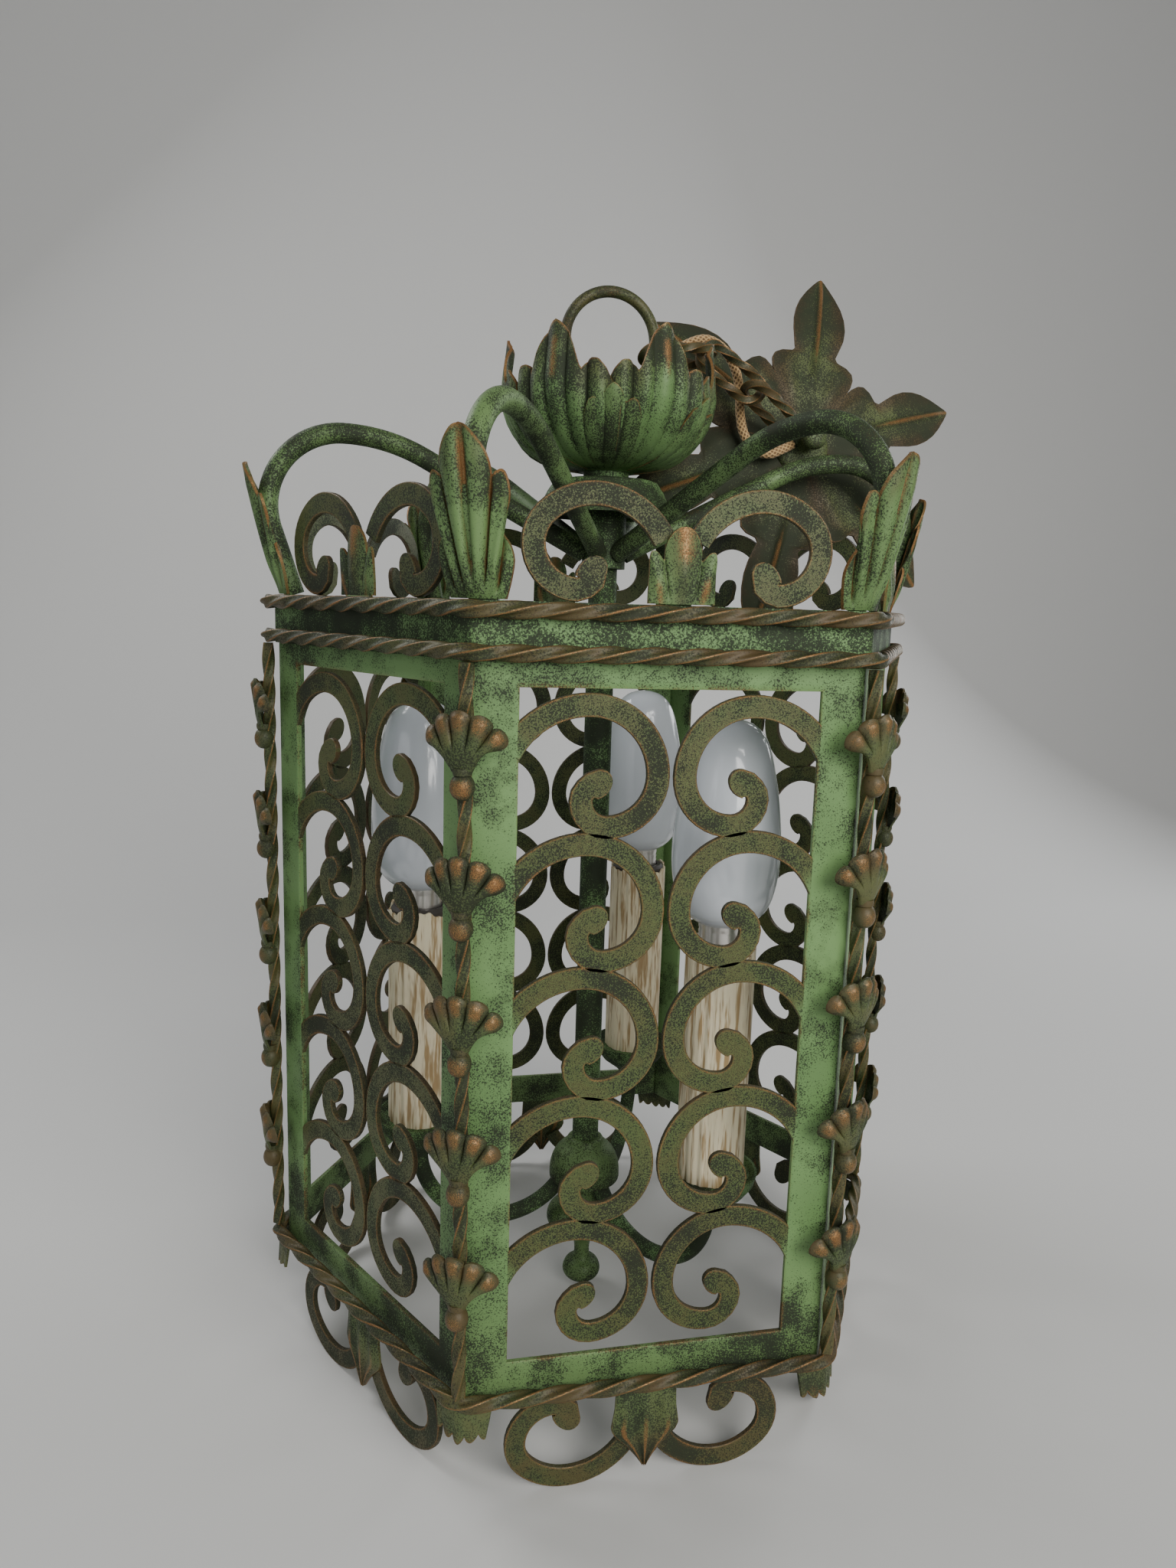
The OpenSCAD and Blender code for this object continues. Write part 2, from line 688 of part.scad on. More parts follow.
// Hanging loop: a bow on two legs that stand in the leaf cup
module hanging_loop()
{
    bow_z = loop_top - loop_rod / 2 - loop_r;
    path = concat(
        [[loop_r, loop_z], [loop_r, bow_z]],
        [for (i = [1:11]) loop_r * [cos(15 * i), sin(15 * i)] + [0, bow_z]],
        [[-loop_r, bow_z], [-loop_r, loop_z]]
    );
    points = [for (p = path) [p[0], 0, p[1]]];
    t = tangents(points);
    last = len(points) - 1;
    color(sage)
        skin([for (i = [0:last]) ring_at(points[i], i <= 1 ? [0, 0, 1] : i >= last - 1 ? [0, 0, -1] : t[i],
            [0, -1, 0], loop_rod / 2, 8, 22.5)]);
}

// Inside of the cage

module central_tube()
{
    color(sage)
        translate([0, 0, tube_z])
            difference() {
                cylinder(d = tube_d, h = tube_top - tube_z);
                translate([0, 0, -1])
                    cylinder(d = tube_d - 3, h = tube_top - tube_z + 2);
            }
}

stem_r = 11;
module candle_hub()
{
    color(sage)
        rotate_extrude()
            polygon([
                [0, 5], [8, 6], [12, 10], [12.5, 14], [10, 18.5], [6, 21], [5, 26], [6, 34], [13, 42], [22, 46],
                [24, 50], [23, 56], [16, 60], [stem_r, 62], [stem_r, 99], [14, 98], [19, 91], [21, 80], [23, 80],
                [22, 90], [18.5, 98], [13, 104], [10, candle_hub_z], [0, candle_hub_z]
            ]);
}

module candle_arm(k)
{
    turn = 120 * (k - 1) - 60;
    color(sage)
        rotate([0, 0, turn]) {
            difference() {
                translate([branch_c[0], 0, branch_c[1]])
                    rotate([90, 0, 0])
                        rotate([0, 0, 200])
                            rotate_extrude(angle = 160)
                                translate([branch_bend, 0])
                                    circle(d = branch_d);
                cylinder(r = stem_r + fit, h = 200);
            }
            translate([candle_reach, 0, drip_z])
                rotate_extrude()
                    polygon([
                        [0, -0.8], [branch_d / 2 + 2, -0.8], [branch_d / 2 + 4, 3], [12, 6], [sleeve_d / 2 + 1, 13],
                        [sleeve_d / 2 + 6, 20], [sleeve_d / 2 + 7.5, 26], [sleeve_d / 2 + 6, 26],
                        [sleeve_d / 2 + 3, 24 - fit], [0, 24 - fit]
                    ]);
        }
}

module at_candle(k)
{
    rotate([0, 0, 120 * (k - 1) - 60])
        translate([candle_reach, 0, 0])
            children();
}

module candle_sleeve(k)
{
    color(wax)
        at_candle(k)
            translate([0, 0, sleeve_z])
                difference() {
                    cylinder(d = sleeve_d, h = sleeve_h);
                    translate([0, 0, -1])
                        cylinder(d = sleeve_d - 2 * sleeve_wall, h = sleeve_h + 2);
                }
}

module lamp_holder(k)
{
    color(olive)
        at_candle(k)
            rotate_extrude()
                polygon([
                    [0, sleeve_z], [6, sleeve_z], [6, sleeve_top - 50], [holder_r, sleeve_top - 46],
                    [holder_r, sleeve_top - 3], [holder_r - 1.6, sleeve_top - 1],
                    [cap_r + 0.8, sleeve_top - 1], [cap_r + 0.8, sleeve_top - 30], [0, sleeve_top - 30]
                ]);
}

module bulb(k)
{
    r = bulb_d / 2;
    h = bulb_h;
    color(opal)
        at_candle(k)
            rotate_extrude()
                polygon([
                    [0, sleeve_top - 30 + 0.3], [9, sleeve_top - 30 + 0.3], [cap_r, sleeve_top - 24],
                    [cap_r, bulb_z], [0.5 * r, bulb_z], [0.66 * r, bulb_z + 0.03 * h],
                    [0.82 * r, bulb_z + 0.08 * h], [0.93 * r, bulb_z + 0.16 * h],
                    [0.99 * r, bulb_z + 0.26 * h], [r, bulb_z + 0.36 * h], [0.985 * r, bulb_z + 0.47 * h],
                    [0.93 * r, bulb_z + 0.6 * h], [0.85 * r, bulb_z + 0.72 * h], [0.74 * r, bulb_z + 0.84 * h],
                    [0.61 * r, bulb_z + 0.92 * h], [0.42 * r, bulb_z + 0.97 * h], [0, bulb_z + h]
                ]);
}

// Chain: links of twisted bar, each turned a quarter about its own length

wire_c = wire_bar / sqrt(2);

module link(p, d, b)
{
    t = d / norm(d);
    n0 = cross(b, t);
    n = n0 / norm(n0);
    up = cross(t, n);
    run = 2 * link_straight + 2 * PI * link_r;
    ends = [for (i = [0:5]) let (a = -90 + 30 * i)
        [link_straight / 2 + link_r * cos(a), link_r * sin(a), a + 90, link_r * PI * i / 6]];
    flat = [for (i = [0:2]) [link_straight / 2 - link_straight * i / 3, link_r, 180,
        link_r * PI + link_straight * i / 3]];
    half = concat(ends, flat);
    rings = [for (h = [0, 1]) for (q = half)
        let (
            s = h == 0 ? 1 : -1,
            a = q[2] + 180 * h,
            c = p + s * q[0] * t + s * q[1] * n,
            tan_v = cos(a) * t + sin(a) * n,
            turn = -(q[3] + h * run / 2) / run * 360 * 2
        )
            ring_at(c, tan_v, up * -1, wire_c, 4, turn)];
    skin(rings, true);
}

// The first link lies round a leg of the hanging loop, the last one ends at the canopy's knob
module chain()
{
    reach = link_straight / 2 + link_r;
    hook = 2 * wire_c + 0.4;
    leg = [loop_r, 0, loop_top - 36];
    d1 = [0.986, 0.167, 0.082];
    u1 = d1 / norm(d1);
    c1 = leg + (reach - wire_c - loop_rod / 2 - 0.4) * u1;
    e1 = c1 + reach * u1;
    d2 = [0.722, -0.148, -0.526];
    u2 = d2 / norm(d2);
    c2 = e1 + (reach - hook) * u2;
    e2 = c2 + reach * u2;
    stop = canopy_p + [-neck_r - 3.1, -9.8, 5.7];
    d3 = stop - e2;
    u3 = d3 / norm(d3);
    c3 = stop - (reach + wire_c) * u3;
    color(bronze) {
        link(c1, u1, [0, 0.365, 1]);
        link(c2, u2, [-0.386, 1, 0]);
        link(c3, u3, [-0.18, 0, 1]);
    }
}

// Ceiling canopy: six lobed leaves round a dome, curved back towards their tips
canopy_rows = [[14, 7.9], [36, 20.5], [48, 26], [58, 27.5], [65, 24], [67.5, 13.6], [84, 17.5],
    [104, 13.5], [117, 5.5], [123, 0.5]];

module canopy_leaf()
{
    function lift(x, y) = canopy_dome * (x * x + y * y) / canopy_r / canopy_r;
    front = [for (row = canopy_rows)
        [for (j = [0:4])
            let (x = row[0] * canopy_r / 123, y = (1 - j / 2) * row[1], rib = j == 2 ? 1.8 : 0)
                [x, y, -lift(x, y) + rib]]];
    back = [for (row = canopy_rows)
        [for (j = [0:4])
            let (x = row[0] * canopy_r / 123, y = (1 - j / 2) * row[1], rib = j == 2 ? 1.2 : 0)
                [x, y, -lift(x, y) + rib - canopy_t]]];
    shell(front, back);
}

module canopy()
{
    color(sage)
        translate(canopy_p)
            rotate([90 - canopy_lean, 0, 0])
                rotate([0, 0, canopy_spin]) {
                    for (k = [0:5])
                        rotate([0, 0, 60 * k])
                            canopy_leaf();
                    rotate_extrude()
                        polygon([[0, -canopy_t - 1], [18, -canopy_t - 1], [18, 0.5], [16, 2.5], [9, 4], [neck_r, 5],
                            [neck_r, 16], [7, 16.5], [8.3, 19], [8.3, 21], [7, 23.5], [4, 24.8], [0, 25.2]]);
                }
}

module cable()
{
    t = tangents(cable_pts);
    b0 = [0.25, 0.95, 0.2];
    color(braid)
        skin([for (i = [0:len(cable_pts) - 1])
            let (n = cross(b0, t[i]), b = cross(t[i], n) / norm(n))
                ring_at(cable_pts[i], t[i], b, cable_d / 2, 6, 0)]);
}

for (k = [1:6])
    panel(k);
for (k = [1:6])
    corner_vine(k);
for (k = [1:6])
    crown_frieze(k);
for (k = [1:6])
    hanging_frieze(k);
for (k = [1:6])
    corner_leaf(k);
for (k = [1:6])
    crown_arm(k);
top_band();
upper_rope();
lower_rope();
bottom_rope();
hub();
leaf_cup();
hanging_loop();
central_tube();
candle_hub();
for (k = [1:3])
    candle_arm(k);
for (k = [1:3])
    candle_sleeve(k);
for (k = [1:3])
    lamp_holder(k);
for (k = [1:3])
    bulb(k);
chain();
canopy();
cable();
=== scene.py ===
# %% [markdown]
# # A wrought-iron cage lantern, dressed
#
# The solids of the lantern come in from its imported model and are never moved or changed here.
# What this lesson adds is the look: bars with worn copper edges, twisted rims, cast leaves and
# flowers, a braided cable, candle sleeves and opal bulbs. Every new piece is a surface worked out
# as one array of points, so its formula can be read in a line or two.

# %% Load the solids
import bpy
import numpy as np
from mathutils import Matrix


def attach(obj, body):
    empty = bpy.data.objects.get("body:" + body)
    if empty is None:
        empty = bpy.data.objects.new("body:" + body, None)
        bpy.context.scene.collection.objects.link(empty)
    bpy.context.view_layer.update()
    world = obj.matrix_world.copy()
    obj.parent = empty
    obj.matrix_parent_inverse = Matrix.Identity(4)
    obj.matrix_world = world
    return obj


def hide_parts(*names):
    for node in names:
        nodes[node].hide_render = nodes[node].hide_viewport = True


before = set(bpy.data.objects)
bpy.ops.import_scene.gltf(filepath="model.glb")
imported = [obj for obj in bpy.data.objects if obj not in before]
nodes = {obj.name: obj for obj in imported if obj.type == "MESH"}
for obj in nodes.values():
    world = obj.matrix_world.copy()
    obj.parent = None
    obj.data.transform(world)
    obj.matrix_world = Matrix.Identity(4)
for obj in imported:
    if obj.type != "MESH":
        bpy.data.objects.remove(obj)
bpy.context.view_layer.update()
print("solids loaded:", len(nodes))

# %% [markdown]
# ## The camera
#
# The camera stands a little left of the front face and slightly above the middle of the cage,
# close to it, so the uprights lean together towards the top edge of the picture. Its place and
# its focal length were found by matching the corners of the cage, then written down as numbers.

# %% Camera
MM = 0.001
PITCH, YAW, ROLL = np.radians(9.42), np.radians(12.07), -0.0304
level = np.array([np.sin(YAW), np.cos(YAW), 0.0])
right = np.array([np.cos(YAW), -np.sin(YAW), 0.0])
forward = np.cos(PITCH) * level - np.sin(PITCH) * np.array([0, 0, 1.0])
upward = np.sin(PITCH) * level + np.cos(PITCH) * np.array([0, 0, 1.0])
cam_x = np.cos(ROLL) * right - np.sin(ROLL) * upward
cam_y = np.sin(ROLL) * right + np.cos(ROLL) * upward

camera_data = bpy.data.cameras.new("camera")
camera_data.sensor_fit = "VERTICAL"
camera_data.sensor_height = 36.0
camera_data.lens = 36.0 * 1390.0 / 2048.0
camera_data.clip_start = 0.02
camera = bpy.data.objects.new("camera", camera_data)
bpy.context.scene.collection.objects.link(camera)
matrix = np.eye(4)
matrix[:3, 0], matrix[:3, 1], matrix[:3, 2] = cam_x, cam_y, -forward
matrix[:3, 3] = np.array([-142.3, -640.8, 451.8]) * MM
camera.matrix_world = matrix.T
bpy.context.scene.camera = camera
print("camera lens %.2f mm" % camera_data.lens)

# %% [markdown]
# ## Surfaces from arrays
#
# A piece is a grid of points with two parameters. Its quads are found by counting, not by
# looping, and every point carries four painted amounts: how much of the paint is rubbed off to
# copper, how olive it is, how bronze, and how densely the black brush has stippled it.

# %% Helpers for surfaces
def quads(nu, nv, start=0, wrap_u=False, wrap_v=False, shift=0):
    """Corner numbers of the quads of an nu by nv grid.

    wrap joins the last row or column to the first, and shift turns the seam between two rows.
    """
    i = np.arange(nu if wrap_u else nu - 1)[:, None]
    j = np.arange(nv if wrap_v else nv - 1)[None, :]
    i2, j2 = (i + 1) % nu, (j + 1) % nv
    turn = np.where(i2 == 0, shift, 0)
    corner = lambda a, b: (a * nv + b + start).ravel()
    corners = [corner(i, j), corner(i2, (j + turn) % nv), corner(i2, (j2 + turn) % nv), corner(i, j2)]
    return np.stack(corners, axis=1)


def tint(shape, copper=0.0, olive=0.0, bronze=0.0, soot=0.0):
    """Four painted amounts for every point of a grid, each a number or an array."""
    amounts = (copper, olive, bronze, soot)
    return np.stack([np.broadcast_to(np.asarray(c, float), shape) for c in amounts], axis=-1)


def about_z(degrees):
    """Matrix that turns rows of points about the upright axis, against the clock seen from above."""
    c, s = np.cos(np.radians(degrees)), np.sin(np.radians(degrees))
    return np.array([[c, s, 0], [-s, c, 0], [0, 0, 1]])


class Piece:
    """Collects grids of points in millimetres and becomes one mesh in metres."""

    def __init__(self):
        self.points, self.faces, self.tints, self.count = [], [], [], 0

    def grid(self, p, paint, wrap_u=False, wrap_v=False, flip=False, caps=False, shift=0):
        """Adds a grid of points; caps closes a tube whose rings are its rows."""
        nu, nv = p.shape[:2]
        f = quads(nu, nv, self.count, wrap_u, wrap_v, shift)
        self.faces += (f[:, ::-1] if flip else f).tolist()
        if caps:
            ring = list(range(nv))
            first = [self.count + j for j in ring]
            last = [self.count + (nu - 1) * nv + j for j in ring]
            self.faces += [first[::-1], last] if flip else [first, last[::-1]]
        self.points.append(p.reshape(-1, 3))
        self.tints.append(np.broadcast_to(paint, p.shape[:2] + (4,)).reshape(-1, 4))
        self.count += nu * nv
        return self

    def tube(self, p, paint, flip=True):
        """Adds a tube or a turned shape whose rings are the rows of the grid, closed at both ends."""
        return self.grid(p, paint, wrap_v=True, flip=flip, caps=True)

    def slab(self, front, back, paint):
        """Closes a front grid and a back grid into one thin solid: both skins and four edge strips."""
        nu, nv = front.shape[:2]
        n, s = nu * nv, self.count
        f = [quads(nu, nv, s)[:, ::-1], quads(nu, nv, s + n)]
        i, j = np.arange(nu - 1), np.arange(nv - 1)
        for a, b in ((j, j + 1), ((nu - 1) * nv + j + 1, (nu - 1) * nv + j),
                     ((i + 1) * nv, i * nv), (i * nv + nv - 1, (i + 1) * nv + nv - 1)):
            f.append(np.stack([a, b, b + n, a + n], axis=1)[:, ::-1] + s)
        self.faces += np.concatenate(f).tolist()
        self.points += [front.reshape(-1, 3), back.reshape(-1, 3)]
        flat = np.broadcast_to(paint, front.shape[:2] + (4,)).reshape(-1, 4)
        self.tints += [flat, flat]
        self.count += 2 * n
        return self

    def moved(self, change):
        """A copy whose points have gone through a function."""
        other = Piece()
        other.points = [change(p) for p in self.points]
        other.faces, other.tints, other.count = self.faces, self.tints, self.count
        return other

    def turned(self, degrees):
        """A copy turned about the lantern's axis."""
        turn = about_z(degrees)
        return self.moved(lambda p: p @ turn)

    def make(self, name, material, body, replaces=(), slot=None, crease=35):
        """Makes the mesh object, paints it, and lets it ride on its body."""
        mesh = bpy.data.meshes.new(name)
        mesh.from_pydata((np.concatenate(self.points) * MM).tolist(), [], self.faces)
        mesh.validate()
        layer = mesh.attributes.new("finish", "FLOAT_COLOR", "POINT")
        layer.data.foreach_set("color", np.concatenate(self.tints).ravel())
        mesh.shade_smooth()
        mesh.set_sharp_from_angle(angle=np.radians(crease))
        mesh.materials.append(material)
        piece = bpy.data.objects.new(name, mesh)
        bpy.context.scene.collection.objects.link(piece)
        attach(piece, body)
        if replaces:
            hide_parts(*replaces)
        return piece


def six(piece, start, name, node, slot, crease=35):
    """Six painted copies of a piece round the axis, the first turned by start, each for one node."""
    for k in range(6):
        copy = piece.turned(start + 60 * k)
        copy.make("%s_%d" % (name, k + 1), IRON, "lantern", ["%s_%d" % (node, k + 1)], slot, crease)


def smooth(x, low, high):
    """0 below low, 1 above high, and a soft step between them."""
    t = np.clip((x - low) / (high - low), 0, 1)
    return t * t * (3 - 2 * t)


def curve_through(points, steps):
    """Smooth curve through given points: each stretch is a cubic that shares its end slopes."""
    p = np.asarray(points, float)
    ext = np.vstack([2 * p[0] - p[1], p, 2 * p[-1] - p[-2]])
    t = np.linspace(0, len(p) - 1, steps)
    i = np.minimum(t.astype(int), len(p) - 2)
    f = (t - i)[:, None]
    a, b, c, d = ext[i], ext[i + 1], ext[i + 2], ext[i + 3]
    square, cube = 2 * a - 5 * b + 4 * c - d, 3 * b - a - 3 * c + d
    return 0.5 * (2 * b + (c - a) * f + square * f ** 2 + cube * f ** 3)


def along(path, closed=False):
    """Unit direction of a path at each of its points."""
    d = np.roll(path, -1, 0) - np.roll(path, 1, 0)
    if not closed:
        d[0], d[-1] = path[1] - path[0], path[-1] - path[-2]
    return d / np.linalg.norm(d, axis=1, keepdims=True)


def sweep(path, side, profile, turn=0.0, closed=False):
    """Carries a profile along a path.

    Each ring is the profile in the plane across the path, its second axis along side, turned by turn.
    """
    t = along(path, closed)
    b = np.broadcast_to(np.asarray(side, float), path.shape)
    b = b - (b * t).sum(1, keepdims=True) * t
    b = b / np.linalg.norm(b, axis=1, keepdims=True)
    n = np.cross(b, t)
    turn = np.broadcast_to(np.asarray(turn, float), (len(path),))[:, None]
    x, y = profile[..., 0], profile[..., 1]
    u = x * np.cos(turn) - y * np.sin(turn)
    v = x * np.sin(turn) + y * np.cos(turn)
    return path[:, None, :] + u[..., None] * n[:, None, :] + v[..., None] * b[:, None, :]


def angles(n):
    """n even steps round a circle, counted against the clock."""
    return np.arange(n) * 2 * np.pi / n


def polar(r, a, z):
    """Points at a radius, an angle and a height, which may each vary over a grid."""
    return np.stack([r * np.cos(a), r * np.sin(a), z + 0 * a], axis=-1)


def at_angle(r, a):
    """Points in a plane at a radius and an angle."""
    return np.stack([r * np.cos(a), r * np.sin(a)], axis=-1)


def lathe(profile, sides):
    """Turns a profile of (radius, height) about the axis."""
    return polar(profile[:, :1], angles(sides), profile[:, 1:])


print("helpers ready")

# %% [markdown]
# ## Sizes
#
# The same values as in the solid model, in millimetres. Heights are worked out upwards from the
# plane that the hanging scrolls stand on, so each new surface lies on the solid it stands for.

# %% Sizes of the cage
COS30, TAN30, COS45 = np.cos(np.pi / 6), np.tan(np.pi / 6), np.cos(np.pi / 4)
FACE, PANEL_H, PANEL_T, GAP = 190, 400, 3.0, 0.2
APOTHEM = FACE * COS30
PANEL_HALF = (APOTHEM - PANEL_T) * TAN30 - GAP / 2
RAIL, SILL, LINTEL = 20, 22, 38.5
OPEN_HALF = PANEL_HALF - RAIL

# The arcs of a frieze scroll, from its crown to its foot, and the width of its bar.
CROWN_ARC, SIDE_ARC, FOOT_ARC, FRIEZE_W = 32, 18, 20.5, 11
FRIEZE_H = CROWN_ARC * (1 - COS45) + SIDE_ARC * COS45 + FOOT_ARC + FRIEZE_W
PANEL_Z = FRIEZE_H + GAP
PANEL_TOP = PANEL_Z + PANEL_H
OPEN_Z, OPEN_TOP = PANEL_Z + SILL, PANEL_TOP - LINTEL
PITCH_Z = (OPEN_TOP - OPEN_Z - 8 - 69) / 4

# A rim's square bar, how far it runs in one whole turn of its twist, and its bends.
ROPE_SIDE, ROPE_LEAD = 6.0, 86
ROPE_C = ROPE_SIDE / np.sqrt(2)
ROPE_A = APOTHEM + 2.2 + ROPE_C
BEND = 12.0
BEND_R = (ROPE_A - BEND) / COS30
ROPE_RUN = 2 * (ROPE_A - BEND) * TAN30 + BEND * np.pi / 3
QUARTERS = round(ROPE_RUN / ROPE_LEAD * 4)
UPPER_Z, LOWER_Z, BOTTOM_Z = PANEL_TOP - 4, PANEL_TOP - 23, PANEL_Z + 6
VINE_R = BEND_R + BEND
VINE_Z, VINE_TOP = BOTTOM_Z + ROPE_C + GAP, LOWER_Z - ROPE_C - GAP
CROWN_Z = PANEL_TOP + GAP

# An arm: its radius, the lean of its foot, the slope of its far end and the radii of its bends.
ARM_R, ARM_LEAN, ARM_SLOPE = 5.75, np.radians(18), np.radians(27.5)
TIGHT, WIDE, ARM_FOOT = 41.5, 100, 36
ARM_R0 = APOTHEM / COS30 - ARM_R / np.cos(ARM_LEAN) - 2.8
arm_end = np.array([ARM_R0 + ARM_FOOT * np.sin(ARM_LEAN), CROWN_Z + 2 + ARM_FOOT * np.cos(ARM_LEAN)])
arm_c = arm_end + TIGHT * np.array([-np.cos(ARM_LEAN), np.sin(ARM_LEAN)])
arm_c2 = arm_c + [0, TIGHT - WIDE]
arm_down = arm_c2 + WIDE * np.array([-np.sin(ARM_SLOPE), np.cos(ARM_SLOPE)])
arm_z = lambda r: arm_down[1] - (arm_down[0] - r) * np.tan(ARM_SLOPE)
BELL_R, BELL_H, CUP_H = 41.5, 25, 73.0
BELL_Z = arm_z(BELL_R) + ARM_R / np.cos(ARM_SLOPE) + GAP
CUP_Z = BELL_Z + BELL_H + GAP
LOOP_TOP, LOOP_R = CUP_Z + CUP_H + 32, 26.7
CANOPY_P = np.array([132, ARM_R + 17, arm_c2[1] + np.sqrt(WIDE ** 2 - 400) + ARM_R + 9])
print("panel top %.1f, hub %.1f, cup %.1f, loop top %.1f" % (PANEL_TOP, BELL_Z, CUP_Z, LOOP_TOP))

# %% [markdown]
# ## Writing shaders as expressions
#
# A node tree is only arithmetic. Wrapping a socket in a small class with the usual operators
# lets a mask be written as `1 - rust * 0.5`; each sign adds one Math node behind the scenes.

# %% Sockets that add and multiply
PAINTED = {"attribute_name": "finish", "attribute_type": "GEOMETRY"}


class Value:
    """A socket of a node tree on which arithmetic adds Math nodes."""

    def __init__(self, tree, socket):
        self.tree, self.socket = tree, socket

    def math(self, kind, *others, clamp=False):
        """Adds a Math node of that kind with this value first."""
        node = self.tree.nodes.new("ShaderNodeMath")
        node.operation, node.use_clamp = kind, clamp
        for slot, value in zip(node.inputs, (self,) + others):
            if isinstance(value, Value):
                self.tree.links.new(value.socket, slot)
            else:
                slot.default_value = value
        return Value(self.tree, node.outputs[0])

    def __add__(self, o): return self.math("ADD", o)
    def __mul__(self, o): return self.math("MULTIPLY", o)
    def __sub__(self, o): return self.math("SUBTRACT", o)
    def __rsub__(self, o): return self * -1.0 + o
    __radd__, __rmul__ = __add__, __mul__

    def step(self, low, high):
        """0 below low, 1 above high, soft between."""
        node = self.tree.nodes.new("ShaderNodeMapRange")
        node.interpolation_type = "SMOOTHSTEP"
        node.inputs["From Min"].default_value = low
        node.inputs["From Max"].default_value = high
        self.tree.links.new(self.socket, node.inputs["Value"])
        return Value(self.tree, node.outputs["Result"])

    def clamp(self):
        """Kept between 0 and 1."""
        return self.math("ADD", 0.0, clamp=True)


class Finish:
    """A material whose nodes are added by short methods."""

    def __init__(self, name):
        self.material = bpy.data.materials.new(name)
        self.material.use_nodes = True
        self.tree = self.material.node_tree
        self.shader = next(n for n in self.tree.nodes if n.type == "BSDF_PRINCIPLED")

    def node(self, kind, settings=None, output=0, **values):
        """Adds a node of that type: its settings are set first, then the values or links of its sockets."""
        node = self.tree.nodes.new("ShaderNode" + kind)
        for key, value in (settings or {}).items():
            setattr(node, key, value)
        for key, value in values.items():
            slot = node.inputs[key.replace("_", " ")]
            if isinstance(value, Value):
                self.tree.links.new(value.socket, slot)
            else:
                slot.default_value = value
        return Value(self.tree, node.outputs[output])

    def mix(self, factor, a, b):
        """Blends two colours; each is three numbers or a socket."""
        node = self.tree.nodes.new("ShaderNodeMix")
        node.data_type = "RGBA"
        for slot, value in zip((node.inputs[0], node.inputs[6], node.inputs[7]), (factor, a, b)):
            if isinstance(value, Value):
                self.tree.links.new(value.socket, slot)
            elif isinstance(value, tuple):
                slot.default_value = value + (1.0,)
            else:
                slot.default_value = value
        return Value(self.tree, node.outputs[2])

    def noise(self, scale, detail=2.0, rough=0.5, vector=None):
        """Soft random pattern with about scale features in a metre."""
        where = vector or self.node("TexCoord", output="Object")
        return self.node("TexNoise", {"noise_dimensions": "3D"}, Vector=where,
                         Scale=scale, Detail=detail, Roughness=rough)

    def painted(self):
        """The first three painted amounts of each point, as sockets."""
        split = self.tree.nodes.new("ShaderNodeSeparateColor")
        self.tree.links.new(self.node("Attribute", PAINTED, output="Color").socket, split.inputs[0])
        return [Value(self.tree, split.outputs[k]) for k in range(3)]

    def set(self, **values):
        """Links or sets sockets of the main shader."""
        for key, value in values.items():
            slot = self.shader.inputs[key.replace("_", " ")]
            if isinstance(value, Value):
                self.tree.links.new(value.socket, slot)
            else:
                slot.default_value = value
        return self.material


print("shader helpers ready")

# %% [markdown]
# ## The painted iron
#
# The iron is painted pale verdigris, then stippled with a nearly black brush that gathers in
# patches, then dry-brushed with copper where a hand would touch it. One material does all of
# it: the painted amounts on each point move it between green, olive and bronze, and fine noise
# breaks up every boundary so that nothing looks sprayed.

# %% Painted iron
def painted_iron():
    """Green paint, black stipple and copper wear, mixed by the painted amounts and by noise."""
    f = Finish("painted_iron")
    worn, olive, bronze = f.painted()
    soot = f.node("Attribute", PAINTED, output="Alpha")
    grain = f.noise(2600, 3.0, 0.65)
    stipple = f.noise(1150, 4.0, 0.7)
    cloud = f.noise(42, 3.0, 0.6)
    drift = f.noise(12, 2.0, 0.5)

    pale = f.mix(drift.step(0.35, 0.65), (0.150, 0.272, 0.098), (0.112, 0.208, 0.072))
    green = f.mix(cloud.step(0.45, 0.65) * 0.6, pale, (0.064, 0.110, 0.040))
    brown = f.mix(grain.step(0.44, 0.58), (0.094, 0.116, 0.037), (0.048, 0.040, 0.016))
    mossy = f.mix(cloud.step(0.4, 0.62) * 0.6, brown, (0.068, 0.112, 0.034))
    dark_bronze = f.mix(cloud.step(0.4, 0.6), (0.075, 0.042, 0.019), (0.045, 0.048, 0.021))

    colour = f.mix(olive.clamp(), green, mossy)
    colour = f.mix(bronze.clamp(), colour, dark_bronze)
    density = (cloud - 0.5) * 0.55 + (drift - 0.5) * 0.4 + soot * 0.14
    speck = (stipple + density + (grain - 0.5) * 0.3).step(0.555, 0.605)
    colour = f.mix(speck * (0.88 - bronze * 0.25), colour, (0.012, 0.013, 0.009))
    rub = (worn * 1.05 + (grain - 0.5) * 2.0 + (cloud - 0.5) * 1.0 - 0.25).step(0.2, 0.85)
    copper = f.mix(grain.step(0.5, 0.6), (0.235, 0.108, 0.038), (0.36, 0.195, 0.075))
    colour = f.mix(rub * 0.85, colour, copper)

    height = grain * 0.35 + stipple * 0.65
    bump = f.node("Bump", Strength=0.35, Distance=0.0004, Height=height)
    return f.set(
        Base_Color=colour,
        Roughness=(0.48 + speck * 0.24 - rub * 0.14),
        Metallic=(rub * 0.5 + 0.06),
        Normal=bump,
        Specular_IOR_Level=0.32,
    )


IRON = painted_iron()
print("made", IRON.name)

